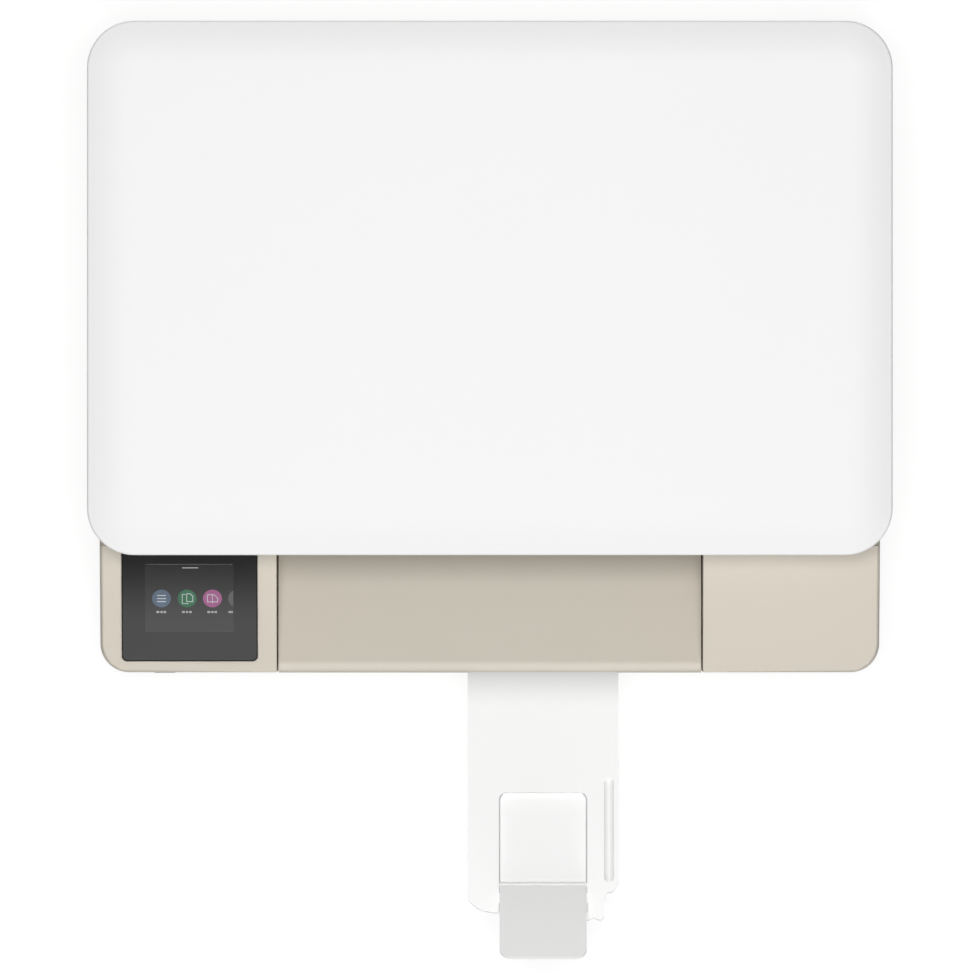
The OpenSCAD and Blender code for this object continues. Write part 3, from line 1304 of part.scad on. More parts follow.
// Lid: pillowed shell with bosses, hinge ears and pins, notched at the hinges
module lid_cover() {
    hw = lid_w / 2;
    skin = wall;
    lip = 1.5;
    steps = 8;
    edge_z = lid_top - pillow_drop;
    // soft edge from the inner end of the slope out to the small outer rounding
    pillow = [for (i = [0:steps]) let (s = i / steps)
        [-pillow_w + s * (pillow_w - lip), lid_top - pillow_drop * s * s]];
    under = [for (i = [steps:-1:0]) let (s = i / steps)
        [-pillow_w + s * (pillow_w - lip - skin), lid_top - skin - pillow_drop * s * s]];
    section = concat([[-lid_r, lid_top]], pillow, [[-0.4, edge_z - 0.6], [0, edge_z - 1.8], [0, lid_z], [-skin, lid_z],
        [-skin, edge_z - 3]], under, [[-lid_r, lid_top - skin]]);
    ear_y = lid_axis[0];
    ear_r = 2.3;
    color(white) placed() difference() {
        union() {
            rim(lid_w, setback, lid_rear, lid_r, section);
            span(lid_r - hw, hw - lid_r, setback + lid_r, lid_rear - lid_r, lid_top - skin, lid_top);
            // bosses that hold the liner
            for (x = [-130, 0, 130]) for (y = [setback + 60, scan_mid + 70])
                bar_z(x, y, lid_z + 4, lid_top - skin + 0.1, 4);
            both_sides() for (x = [lid_hinge_x - post_half - 3.4, lid_hinge_x + post_half + 0.4]) {
                bar_x(x, x + 3, ear_y, lid_axis[1], ear_r);
                span(x, x + 3, ear_y - ear_r, lid_rear - 1, lid_axis[1], edge_z - 1);
            }
        }
        both_sides() {
            span(lid_hinge_x - post_half - 0.4, lid_hinge_x + post_half + 0.4, ear_y - 3.6, lid_rear + 1, lid_z - 1,
                lid_axis[1] + 3.6);
            bar_x(lid_hinge_x - post_half - 2.4, lid_hinge_x + post_half + 2.4, ear_y, lid_axis[1], pin_r);
        }
    }
    color(steel) placed() both_sides()
        bar_x(lid_hinge_x - post_half - 2.4, lid_hinge_x + post_half + 2.4, ear_y, lid_axis[1], pin_r);
}

// White liner that presses the sheet on the glass
module lid_liner() {
    x = scan_glass_w / 2 + 4;
    color([0.97, 0.97, 0.97]) placed() span(-x, x, scan_mid - scan_glass_d / 2 - 4, scan_mid + scan_glass_d / 2 + 4,
        scan_top + seam, lid_z + 4);
}

// Hinge posts: stems in the scanner's sockets and barrels under the lid's rear edge
module lid_hinge_posts() {
    low = scan_z + 4;
    head_z = scan_top + seam;
    barrel = 3;
    color([0.9, 0.9, 0.9]) placed() both_sides() difference() {
        union() {
            span(lid_hinge_x - socket_half, lid_hinge_x + socket_half, post_y - post_t / 2, post_y + post_t / 2,
                low, head_z + 0.1);
            span(lid_hinge_x - post_half, lid_hinge_x + post_half, post_y - post_t / 2, lid_axis[0], head_z, lid_axis[1] + 2);
            bar_x(lid_hinge_x - post_half, lid_hinge_x + post_half, lid_axis[0], lid_axis[1], barrel);
        }
        bar_x(lid_hinge_x - post_half - 1, lid_hinge_x + post_half + 1, lid_axis[0], lid_axis[1], pin_r + shaft_fit);
    }
}

base_pan();
feet();
side_cover_left();
side_cover_right();
rear_cover();
front_fascia_left();
front_fascia_right();
control_glass();
display_screen();
power_button();
output_tray();
tray_extender();
paper_stop();
paper_tray();
width_guide_left();
width_guide_right();
guide_pinion();
length_guide();
engine_frame();
platen();
rear_paper_guide();
feed_roller();
feed_gear();
exit_shaft();
exit_rolls();
exit_gear();
idler_gear();
motor_pinion();
feed_motor();
drive_plate();
pinch_rollers();
pinch_holder();
star_wheels();
star_holder();
side_frames();
guide_rod();
carriage_rail();
carriage();
cartridge_black();
cartridge_colour();
carriage_belt();
carriage_motor();
belt_pulley();
belt_idler();
service_station();
turn_roller();
pick_arm();
pick_roller();
rear_door();
main_board();
power_supply();
scanner_base();
scanner_frame();
scan_glass();
scan_rod();
scan_head();
prop_arms();
lid_cover();
lid_liner();
lid_hinge_posts();
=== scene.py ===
"""Looks of an all-in-one inkjet printer, dressed over the fixed frame, in metres.

The sections follow the printer as it is put together: casing, control panel, output bin, extender,
paper tray, print engine, scanner, lid, and last the room that it stands in.
"""

import math

import bmesh
import bpy
import numpy as np
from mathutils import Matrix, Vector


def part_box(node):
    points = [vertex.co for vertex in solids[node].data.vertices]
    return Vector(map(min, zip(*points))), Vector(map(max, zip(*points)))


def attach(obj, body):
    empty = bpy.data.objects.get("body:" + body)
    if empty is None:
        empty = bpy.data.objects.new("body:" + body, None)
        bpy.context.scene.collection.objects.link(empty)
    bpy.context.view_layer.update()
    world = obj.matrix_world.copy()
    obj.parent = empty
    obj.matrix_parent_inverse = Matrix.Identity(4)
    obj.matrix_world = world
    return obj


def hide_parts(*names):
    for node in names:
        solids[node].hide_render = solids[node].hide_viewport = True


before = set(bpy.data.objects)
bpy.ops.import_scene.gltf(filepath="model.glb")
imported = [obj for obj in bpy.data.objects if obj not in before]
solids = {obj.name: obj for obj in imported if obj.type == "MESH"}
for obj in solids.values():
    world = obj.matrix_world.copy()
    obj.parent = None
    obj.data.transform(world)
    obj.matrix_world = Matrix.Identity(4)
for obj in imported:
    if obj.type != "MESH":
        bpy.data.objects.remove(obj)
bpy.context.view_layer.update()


# ------------------------------------------------------------------ base pan and feet
# The pan is a shallow tray of recycled black polystyrene, spark-eroded outside so that marks don't
# show. The feet are discs of soft black rubber, pressed into it.


def group_of(name, inputs, outputs):
    """An empty shader node group with its named sockets, its input node and its output node."""
    tree = bpy.data.node_groups.new(name, "ShaderNodeTree")
    for label, kind, value in inputs:
        plug = tree.interface.new_socket(name=label, in_out="INPUT", socket_type="NodeSocket" + kind)
        if value is not None:
            plug.default_value = value
    for label, kind in outputs:
        tree.interface.new_socket(name=label, in_out="OUTPUT", socket_type="NodeSocket" + kind)
    return tree, tree.nodes.new("NodeGroupInput"), tree.nodes.new("NodeGroupOutput")


def feed(tree, plug, value):
    """Sets an input to a plain value, or links an output to it."""
    if isinstance(value, bpy.types.NodeSocket):
        tree.links.new(value, plug)
    else:
        plug.default_value = value


def sums(tree, operation, first, second=0.0, third=0.0):
    """A Math node's answer from up to three numbers or sockets."""
    made = tree.nodes.new("ShaderNodeMath")
    made.operation = operation
    for plug, value in zip(made.inputs, (first, second, third)):
        feed(tree, plug, value)
    return made.outputs[0]


def blend_of(tree, share, first, second, kind="MIX"):
    """A colour mixed from two by a share from 0 to 1."""
    made = tree.nodes.new("ShaderNodeMix")
    made.data_type = "RGBA"
    made.blend_type = kind
    feed(tree, made.inputs[0], share)
    feed(tree, made.inputs[6], first)
    feed(tree, made.inputs[7], second)
    return made.outputs[2]


def spread(tree, value, low, high, to_low=0.0, to_high=1.0):
    """A number carried smoothly from one range to another, held at its ends."""
    made = tree.nodes.new("ShaderNodeMapRange")
    made.interpolation_type = "SMOOTHSTEP"
    for plug, number in zip(made.inputs, (value, low, high, to_low, to_high)):
        feed(tree, plug, number)
    return made.outputs[0]


def cloud(tree, where, scale, detail=2.0, rough=0.5):
    """Soft noise about 0.5, of a size of one over its scale in metres."""
    made = tree.nodes.new("ShaderNodeTexNoise")
    feed(tree, made.inputs["Vector"], where)
    made.inputs["Scale"].default_value = scale
    made.inputs["Detail"].default_value = detail
    made.inputs["Roughness"].default_value = rough
    return made.outputs["Fac"]


def scaled_by(tree, first, factor):
    """A point or a colour times a number."""
    made = tree.nodes.new("ShaderNodeVectorMath")
    made.operation = "SCALE"
    feed(tree, made.inputs[0], first)
    feed(tree, made.inputs["Scale"], factor)
    return made.outputs[0]


def axes_of(tree, where):
    """The outputs X, Y and Z of a point."""
    made = tree.nodes.new("ShaderNodeSeparateXYZ")
    tree.links.new(where, made.inputs[0])
    return made.outputs


def about(tree, grain, width, middle):
    """A number that follows a grain about its middle: width (grain - 0.5) + middle."""
    return sums(tree, "MULTIPLY_ADD", sums(tree, "SUBTRACT", grain, 0.5), width, middle)


def make_spark_texture():
    """Moulded plastic: fine eroded grain as height, a slow drift of tone, specks and a roughness that
    follows the grain. Position is in metres; Pitch is the grains per metre."""
    tree, given, out = group_of(
        "spark_texture",
        [("Position", "Vector", None), ("Colour", "Color", (0.8, 0.8, 0.8, 1)),
         ("Pitch", "Float", 1500.0), ("Roughness", "Float", 0.5), ("Drift", "Float", 0.02),
         ("Specks", "Float", 0.02)],
        [("Colour", "Color"), ("Roughness", "Float"), ("Height", "Float")])
    scaled = scaled_by(tree, given.outputs["Position"], given.outputs["Pitch"])
    grain = cloud(tree, scaled, 1.0, 3.0, 0.62)
    pits = tree.nodes.new("ShaderNodeTexVoronoi")
    tree.links.new(scaled, pits.inputs["Vector"])
    pits.inputs["Scale"].default_value = 0.8
    drift = cloud(tree, given.outputs["Position"], 9.0, 3.0)
    height = sums(tree, "MULTIPLY_ADD", spread(tree, pits.outputs["Distance"], 0.0, 0.6), 0.35, grain)
    tone = sums(tree, "MULTIPLY", sums(tree, "SUBTRACT", drift, 0.5), given.outputs["Drift"])
    speck = sums(tree, "MULTIPLY", spread(tree, grain, 0.62, 0.8), given.outputs["Specks"])
    shade = sums(tree, "SUBTRACT", sums(tree, "ADD", 1.0, tone), speck)
    tree.links.new(scaled_by(tree, given.outputs["Colour"], shade), out.inputs["Colour"])
    tree.links.new(about(tree, grain, 0.22, given.outputs["Roughness"]), out.inputs["Roughness"])
    tree.links.new(height, out.inputs["Height"])
    return tree


SPARK = make_spark_texture()


def blank_material(name):
    """A new material with its tree, its Principled shader and the point in object space."""
    made = bpy.data.materials.new(name)
    made.use_nodes = True
    tree = made.node_tree
    where = tree.nodes.new("ShaderNodeTexCoord").outputs["Object"]
    return made, tree, tree.nodes["Principled BSDF"], where


def raise_by(tree, shader, height, strength, depth):
    """Feeds a height into the shader's normal. A height of one stands for the depth in metres."""
    made = tree.nodes.new("ShaderNodeBump")
    made.inputs["Strength"].default_value = strength
    made.inputs["Distance"].default_value = depth
    tree.links.new(height, made.inputs["Height"])
    tree.links.new(made.outputs["Normal"], shader.inputs["Normal"])


def spark_skin(tree, shader, where, colour, pitch, rough, drift, specks=0.02):
    """Gives a shader the spark texture's colour and roughness, and returns its height."""
    skin = tree.nodes.new("ShaderNodeGroup")
    skin.node_tree = SPARK
    tree.links.new(where, skin.inputs["Position"])
    skin.inputs["Colour"].default_value = (*colour, 1)
    skin.inputs["Pitch"].default_value = pitch
    skin.inputs["Roughness"].default_value = rough
    skin.inputs["Drift"].default_value = drift
    skin.inputs["Specks"].default_value = specks
    tree.links.new(skin.outputs["Colour"], shader.inputs["Base Color"])
    tree.links.new(skin.outputs["Roughness"], shader.inputs["Roughness"])
    return skin.outputs["Height"]


GRAIN_DEPTH = 0.00012


def moulding(name, colour, rough=0.5, pitch=1500.0, bump=0.25, drift=0.03, specks=0.03, gloss=0.5):
    """Injection-moulded plastic of one colour with the spark texture."""
    made, tree, shader, where = blank_material(name)
    height = spark_skin(tree, shader, where, colour, pitch, rough, drift, specks)
    shader.inputs["Specular IOR Level"].default_value = gloss
    raise_by(tree, shader, height, bump, GRAIN_DEPTH)
    return made


def wear(material, *names):
    """Gives CAD pieces a material in every one of their slots."""
    for name in names:
        mesh = solids[name].data
        if not mesh.materials:
            mesh.materials.append(material)
        for i in range(len(mesh.materials)):
            mesh.materials[i] = material


pan_black = moulding("pan_black", (0.022, 0.022, 0.023), 0.55, 900.0, 0.4, 0.2, 0.1)
foot_rubber = moulding("foot_rubber", (0.012, 0.012, 0.012), 0.78, 2600.0, 0.5, 0.25, 0.0, gloss=0.25)
wear(pan_black, "base_pan")
wear(foot_rubber, "feet")


# ------------------------------------------------------------------ covers and fascias
# Side covers, rear cover and front fascias are ABS coloured warm grey through the mass, with a fine matt
# texture. The rear door is the same.

body_sand = moulding("body_sand", (0.672, 0.618, 0.535), 0.56, 1700.0, 0.16, 0.025, 0.025, gloss=0.18)
FRONT_Y = -0.103807
HALF = 0.2228
CORNER = 0.0165
EDGE = 0.0022
EDGE_AT_BIN = 0.0005
FASCIA_INNER = 0.1224
SKIN = 0.0008
FADE_FROM_Y = -0.033
FADE_LONG = 0.009
SLOPE = math.radians(20.0)
BROW_TOP = 0.143900
BROW_LONG = 0.0726


def eased_corner(turn):
    """How far a chord of the corner's arc falls short of the arc, for chords of 22.5 degrees."""
    step = np.pi / 8
    middle = (np.clip(np.floor(turn / step), 0, 3) + 0.5) * step
    return (CORNER - EDGE) * (1 - math.cos(step / 2) / np.cos(turn - middle))


def softened(points):
    """Gives the outer edge of the brow an upright ellipse for its round. At an inset d the round drops
    e = r - sqrt(r^2 - (r - d)^2); 3 e is added to it, which fades out near the lid. Along the front r
    grows from the bin to the corner. The chords of the front corners are pushed out to their arc."""
    side = np.sign(points[:, 0])
    over_x = np.abs(points[:, 0]) - (HALF - CORNER)
    over_y = FRONT_Y + CORNER - points[:, 1]
    corner = (over_x > 0) & (over_y > 0)
    out = np.hypot(np.maximum(over_x, 0), np.maximum(over_y, 0))
    turn = np.arctan2(np.maximum(over_x, 0), np.maximum(over_y, 1e-9))
    short = np.where(corner, eased_corner(turn), 0.0)
    inset = np.where(over_y > 0, CORNER - out, HALF - np.abs(points[:, 0])) - short
    skin = np.clip((EDGE + SKIN - inset) / SKIN, 0, 1)
    shift = np.stack([side * np.sin(turn) * short * skin, -np.cos(turn) * short * skin,
                      np.zeros(len(points))], axis=-1)
    brow = BROW_TOP + (points[:, 1] - FRONT_Y - BROW_LONG) * math.tan(SLOPE)
    along = np.clip((np.abs(points[:, 0]) - FASCIA_INNER) / (HALF - CORNER - FASCIA_INNER), 0, 1)
    edge = np.where(over_x > 0, EDGE, EDGE_AT_BIN + (EDGE - EDGE_AT_BIN) * along)
    upper = points[:, 2] > brow - edge * 1.25
    drop = edge - np.sqrt(edge ** 2 - (edge - np.clip(inset, 0, edge)) ** 2)
    fade = np.clip((FADE_FROM_Y - points[:, 1]) / FADE_LONG, 0, 1)
    shift[:, 2] -= np.where(upper & (inset < edge), 3 * drop * fade, 0.0)
    return points + shift


def recut(name, body="chassis"):
    """A merged copy of a fascia with the softened edge: edges that cross a front corner are split in
    four first, so that the arc is true."""
    form = bmesh.new()
    form.from_mesh(solids[name].data)
    bmesh.ops.remove_doubles(form, verts=form.verts, dist=0.000002)

    def crosses(edge):
        ends = [(abs(v.co.x) - (HALF - CORNER), FRONT_Y + CORNER - v.co.y) for v in edge.verts]
        nearest = min(math.hypot(*e) for e in ends)
        if min(min(e) for e in ends) < -0.0001 or nearest < CORNER - EDGE - 0.001:
            return False
        return abs(math.atan2(*ends[0]) - math.atan2(*ends[1])) > 0.15

    split = [edge for edge in form.edges if crosses(edge)]
    bmesh.ops.subdivide_edges(form, edges=split, cuts=3, use_grid_fill=True)
    mesh = bpy.data.meshes.new(name + "_shell")
    form.to_mesh(mesh)
    form.free()
    points = np.empty(len(mesh.vertices) * 3)
    mesh.vertices.foreach_get("co", points)
    mesh.vertices.foreach_set("co", softened(points.reshape(-1, 3)).ravel())
    mesh.materials.clear()
    mesh.materials.append(body_sand)
    mesh.update()
    mesh.polygons.foreach_set("use_smooth", np.ones(len(mesh.polygons), bool))
    mesh.set_sharp_from_angle(angle=math.radians(24.0))
    piece = bpy.data.objects.new(name + "_shell", mesh)
    bpy.context.scene.collection.objects.link(piece)
    even = piece.modifiers.new("even_shade", "WEIGHTED_NORMAL")
    even.keep_sharp = True
    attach(piece, body)
    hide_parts(name)


recut("front_fascia_left")
recut("front_fascia_right")
wear(body_sand, "side_cover_left", "side_cover_right", "rear_cover", "rear_door")


# ------------------------------------------------------------------ control panel
# A slab of smoked acrylic with a polished, slightly rolled edge lies flush in the left fascia. The
# screen lies under it: a lighter pane with round keys, page outlines and bars, bonded to the glass.

BROW_Z = BROW_TOP - BROW_LONG * math.tan(SLOPE)
GLASS = (-0.2104, -0.1327, 0.006811, 0.076196)
GLASS_RISE = 0.0002
GLASS_THICK = 0.002
SUNK = 0.0003


def on_slope(points):
    """Takes rows of (across, up the slope, off the face) to the room: the brow is tilted about the
    line where it meets the front face."""
    across, along, off = points[..., 0], points[..., 1], points[..., 2]
    y = FRONT_Y + along * math.cos(SLOPE) - off * math.sin(SLOPE)
    z = BROW_Z + along * math.sin(SLOPE) + off * math.cos(SLOPE)
    return np.stack([across, y, z], axis=-1)


def round_outline(x0, x1, y0, y1, radius, turn=10):
    """Outline of a rounded rectangle, anticlockwise: four quarter circles joined by straight sides."""
    a = np.linspace(0, np.pi / 2, turn)
    corners = [(x1 - radius, y0 + radius, -np.pi / 2), (x1 - radius, y1 - radius, 0.0),
               (x0 + radius, y1 - radius, np.pi / 2), (x0 + radius, y0 + radius, np.pi)]
    return np.concatenate([np.stack([cx + radius * np.cos(a + start),
                                     cy + radius * np.sin(a + start)], axis=-1)
                           for cx, cy, start in corners])


def inset_outline(sides, inset, radius, turn=10):
    """A rounded rectangle drawn in by an inset from its sides (x0, x1, y0, y1)."""
    x0, x1, y0, y1 = sides
    return round_outline(x0 + inset, x1 - inset, y0 + inset, y1 - inset, radius, turn)


def at_height(flat, z):
    """Rows of (x, y) carried to one height."""
    return np.column_stack([flat, np.full(len(flat), z)])


def stacked(name, rings, material, body, slot, smooth=True, sharp=32.0):
    """A closed piece from rings of equal length, the first ring below and the last above. Neighbouring
    rings are joined by quads, and the end rings are closed by one face each."""
    rings = np.asarray(rings)
    levels, around, _ = rings.shape
    index = np.arange(levels * around).reshape(levels, around)
    low, high = index[:-1], index[1:]
    quads = np.stack([low, np.roll(low, -1, 1), np.roll(high, -1, 1), high], axis=-1)
    faces = quads.reshape(-1, 4).tolist() + [index[0][::-1].tolist(), index[-1].tolist()]
    mesh = bpy.data.meshes.new(name)
    mesh.from_pydata(rings.reshape(-1, 3).tolist(), [], faces)
    mesh.materials.append(material)
    return added(name, mesh, body, slot, smooth, sharp)


def added(name, mesh, body, slot, smooth=True, sharp=32.0):
    """Links a mesh as a piece, shades it and rides it on its body; its slot is not used."""
    mesh.validate()
    mesh.update()
    if smooth:
        mesh.polygons.foreach_set("use_smooth", np.ones(len(mesh.polygons), bool))
        mesh.set_sharp_from_angle(angle=math.radians(sharp))
    piece = bpy.data.objects.new(name, mesh)
    bpy.context.scene.collection.objects.link(piece)
    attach(piece, body)
    return piece


def slab_rings(sides, radius, low, high, roll, steps=6):
    """Rings of a slab on the slope: straight sides, then an upper edge rolled over a quarter circle."""
    a = np.linspace(0, np.pi / 2, steps)
    levels = [(0.0, low)] + [(roll * (1 - math.cos(t)), high - roll + roll * math.sin(t)) for t in a]
    return [on_slope(at_height(inset_outline(sides, d, max(radius - d, 0.0001)), z))
            for d, z in levels]


def polish(tree, shader, where, level):
    """Gives a shader the coat of polished acrylic, with faint wipe marks that it returns."""
    marks = cloud(tree, where, 60.0, 4.0, 0.6)
    tree.links.new(spread(tree, marks, 0.3, 0.8, 0.10, 0.18), shader.inputs["Roughness"])
    shader.inputs["IOR"].default_value = 1.49
    shader.inputs["Specular IOR Level"].default_value = level
    return marks


def make_smoked(name, rear, front):
    """Near-black acrylic: a polished coat over a deep grey that pales towards the front edge, painted
    shade under the lid's edge giving way to a painted reflection towards the front, with faint wipe
    marks in the roughness."""
    made, tree, shader, where = blank_material(name)
    marks = polish(tree, shader, where, 0.24)
    # Painted light: the grey is darkest under the lid and pales to the front as a painted reflection.
    painted_light_share = spread(tree, axes_of(tree, where)["Y"], -0.035, -0.079)
    grey = blend_of(tree, painted_light_share, (rear, rear, rear, 1), (front, front, front, 1))
    tree.links.new(blend_of(tree, sums(tree, "MULTIPLY", marks, 0.08), grey, (0.06, 0.06, 0.06, 1)),
                   shader.inputs["Base Color"])
    return made


smoked_glass = make_smoked("smoked_glass", 0.002, 0.061)
glass_rings = slab_rings(GLASS, 0.0033, GLASS_RISE - GLASS_THICK, GLASS_RISE, 0.0005)
panel_glass = stacked("panel_glass", glass_rings, smoked_glass, "chassis", "control_glass")
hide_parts("control_glass")


def make_screen_glow(name, colour, glow):
    """A lit patch of the screen seen through the smoked glass: its own colour, slightly uneven as a
    backlight is, under the same polished coat."""
    made, tree, shader, where = blank_material(name)
    uneven = spread(tree, cloud(tree, where, 90.0, 2.0), 0.25, 0.75, 0.9, 1.06)
    tint = scaled_by(tree, colour, uneven)
    tree.links.new(tint, shader.inputs["Base Color"])
    tree.links.new(tint, shader.inputs["Emission Color"])
    shader.inputs["Emission Strength"].default_value = glow
    polish(tree, shader, where, 0.28)
    return made


def on_glass(outline, rise, name, material):
    """A closed flat shape bonded on the glass: its outline carried up by its rise."""
    flat = np.asarray(outline)
    levels = [GLASS_RISE - SUNK, GLASS_RISE + rise * 0.7, GLASS_RISE + rise]
    centre = flat.mean(axis=0)
    rings = [on_slope(at_height(centre + (flat - centre) * grow, z))
             for z, grow in zip(levels, (1.0, 1.0, 0.996))]
    return stacked(name, rings, material, "chassis", "display", smooth=False)


def circle(x, y, radius, count=48):
    """Points of a circle, anticlockwise."""
    a = np.linspace(0, 2 * np.pi, count, endpoint=False)
    return np.stack([x + radius * np.cos(a), y + radius * np.sin(a)], axis=-1)


def unit(rows):
    """Each row brought to a length of one."""
    return rows / np.linalg.norm(rows, axis=1)[:, None]


def leftward(rows):
    """Each row turned a quarter to the left."""
    return np.stack([-rows[:, 1], rows[:, 0]], axis=-1)


def ribbon(points, width, low, high, place, name, material, ride, closed=True):
    """A low strip along a path: at each corner its two edges lie half its width to the left and right
    of the path, and the section is a rectangle from the low to the high side, carried along."""
    path = np.asarray(points, float)
    ahead = np.roll(path, -1, 0) - path
    behind = path - np.roll(path, 1, 0)
    if not closed:
        ahead[-1], behind[0] = behind[-1], ahead[0]
    normal = unit(leftward(unit(ahead)) + leftward(unit(behind)))
    reach = (width / 2) / np.clip((normal * leftward(unit(ahead))).sum(axis=1), 0.5, 1)[:, None]
    left, right = path + normal * reach, path - normal * reach
    section = [(left, low), (right, low), (right, high), (left, high)]
    rings = np.stack([place(at_height(p, z)) for p, z in section], axis=1)
    count = len(path)
    index = np.arange(count * 4).reshape(count, 4)
    onward = np.roll(index, -1, 0)
    first, then = (index, onward) if closed else (index[:-1], onward[:-1])
    quads = np.stack([first, then, np.roll(then, -1, 1), np.roll(first, -1, 1)], axis=-1)
    faces = quads.reshape(-1, 4).tolist()
    if not closed:
        faces += [index[0].tolist(), index[-1][::-1].tolist()]
    mesh = bpy.data.meshes.new(name)
    mesh.from_pydata(rings.reshape(-1, 3).tolist(), [], faces)
    mesh.materials.append(material)
    return added(name, mesh, *ride, smooth=False)


def line_on_glass(points, width, rise, name, material, closed=True):
    """A line that stands on the glass by its rise."""
    return ribbon(points, width, GLASS_RISE - SUNK, GLASS_RISE + rise, on_slope, name, material,
                  ("chassis", "display"), closed)


# The screen pane carries the same painted shade at the rear and painted reflection at the front.
screen_grey = make_smoked("screen_grey", 0.013, 0.079)
key_blue = make_screen_glow("key_blue", (0.087, 0.116, 0.156), 0.30)
key_green = make_screen_glow("key_green", (0.042, 0.121, 0.067), 0.30)
key_pink = make_screen_glow("key_pink", (0.269, 0.095, 0.197), 0.30)
line_pale = make_screen_glow("line_pale", (0.420, 0.450, 0.480), 0.35)
bar_pale = make_screen_glow("bar_pale", (0.300, 0.300, 0.310), 0.35)

pane_outline = round_outline(-0.1970, -0.1464, 0.0249, 0.0660, 0.0006)
screen_pane = on_glass(pane_outline, 0.00010, "screen_pane", screen_grey)
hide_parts("display_screen")

KEY_Y = 0.0452
KEY_R = 0.0054
KEY_RISE = 0.00020
NEXT_KEY_X = -0.1441
NEXT_KEY_CUT = -0.1466
MENU_PITCH = 0.00186
MENU_HALF = 0.00024
LINE_RISE = 0.00030
LINE_RISE_OVER = 0.00032
LINE = 0.00036
keys = (("menu", -0.1876, key_blue), ("copy", -0.1730, key_green), ("scan", -0.1585, key_pink))
bars = ((-0.0021, 0.0017), (0.0, 0.0013), (0.0019, 0.0015))
for label, x, finish in keys:
    on_glass(circle(x, KEY_Y, KEY_R), KEY_RISE, "screen_key_" + label, finish)
    for step, width in bars:
        on_glass(round_outline(x + step - width / 2, x + step + width / 2, 0.0363, 0.0376, 0.00035),
                 KEY_RISE, "screen_bar_%s_%d" % (label, round(step * 10000) + 30), bar_pale)
for row in (-1, 0, 1):
    y = KEY_Y + row * MENU_PITCH
    on_glass(round_outline(-0.1902, -0.1850, y - MENU_HALF, y + MENU_HALF, 0.0002), LINE_RISE,
             "screen_menu_bar_%d" % (row + 2), line_pale)


def sheet_outline(x0, x1, y0, y1, fold):
    """Outline of a page with its upper right corner folded off."""
    return [(x0, y0), (x1, y0), (x1, y1 - fold), (x1 - fold, y1), (x0, y1)]


line_on_glass([(-0.1738, 0.0477), (-0.1757, 0.0477), (-0.1757, 0.0421), (-0.1722, 0.0421)], LINE,
              LINE_RISE, "screen_page_back", line_pale, closed=False)
line_on_glass(sheet_outline(-0.1732, -0.1697, 0.0433, 0.0481, 0.0015), LINE, LINE_RISE_OVER,
              "screen_page_front", line_pale)
line_on_glass(sheet_outline(-0.1613, -0.1555, 0.0432, 0.0475, 0.0020), LINE, LINE_RISE,
              "screen_page_scan", line_pale)
line_on_glass([(-0.1585, 0.0424), (-0.1585, 0.0479)], LINE, LINE_RISE_OVER, "screen_scan_line",
              line_pale, closed=False)
edge_of_key = circle(NEXT_KEY_X, KEY_Y, KEY_R, 96)
cut = edge_of_key[edge_of_key[:, 0] < NEXT_KEY_CUT]
cut = cut[np.argsort(-cut[:, 1])]
on_glass(np.vstack([cut, [[NEXT_KEY_CUT, cut[-1, 1]], [NEXT_KEY_CUT, cut[0, 1]]]]), 0.00018,
         "screen_key_next", make_screen_glow("key_grey", (0.095, 0.095, 0.098), 0.30))
on_glass(round_outline(-0.1494, -0.1467, 0.0364, 0.0375, 0.00035), KEY_RISE, "screen_bar_next", bar_pale)
on_glass(round_outline(-0.1757, -0.1664, 0.0636, 0.0641, 0.0002), KEY_RISE, "screen_pull_bar", bar_pale)

gasket_black = moulding("gasket_black", (0.004, 0.004, 0.004), 0.6, 2400.0, 0.1, 0.2, 0.0, gloss=0.1)
GASKET = 0.0006
line_on_glass(inset_outline(GLASS, GASKET / 2, 0.003), GASKET, 0.00008, "panel_gasket", gasket_black)

button_grey = moulding("button_grey", (0.50, 0.50, 0.49), 0.38, 2200.0, 0.08)
wear(button_grey, "power_button")


# ------------------------------------------------------------------ output bin
# The bin is one moulding of the body's plastic, but its colour is darker than the body's: painted shade
# for the recess under the lid. Its floor runs down to the rear from a rounded lip, and two rails under
# the floor hold the extender.

# The body's sand darkened as painted shade for the bin under the lid.
shaded_bin_sand = moulding("shaded_bin_sand", (0.600, 0.553, 0.474), 0.54, 1700.0, 0.16, 0.025, 0.025, gloss=0.25)


def tint_along(material, share_of, other):
    """Blends a moulding's colour towards another by a share worked out from the point."""
    tree = material.node_tree
    base_plug = tree.nodes["Principled BSDF"].inputs["Base Color"]
    axes = axes_of(tree, tree.nodes["Texture Coordinate"].outputs["Object"])
    base = base_plug.links[0].from_socket
    tree.links.new(blend_of(tree, share_of(tree, axes), base, other), base_plug)


def lip_highlight_share(tree, axes):
    """One on the rounded lip, where a painted highlight lightens the colour, and nothing behind it or
    below it.
    """
    ahead = spread(tree, axes["Y"], -0.0972, -0.0998)
    above = spread(tree, axes["Z"], 0.0955, 0.0985)
    return sums(tree, "MULTIPLY", ahead, above)


# Painted highlight: the lip's rounding is lifted towards a paler sand, as if it caught the light.
tint_along(shaded_bin_sand, lip_highlight_share, (0.690, 0.640, 0.562, 1))
wear(shaded_bin_sand, "output_tray")


# ------------------------------------------------------------------ extender and stop flap
# White polystyrene, more satin than the body. The flap is light grey, so that it shows on the paper.

satin_white = moulding("satin_white", (0.876, 0.876, 0.871), 0.42, 2000.0, 0.08, 0.012, 0.0)
flap_grey = moulding("flap_grey", (0.920, 0.920, 0.915), 0.42, 2000.0, 0.08, 0.02, 0.0)
BED = math.radians(6.0)
BED_Y = FRONT_Y + 0.005
BED_Z = 0.100
ROOT_LONG = 0.0212


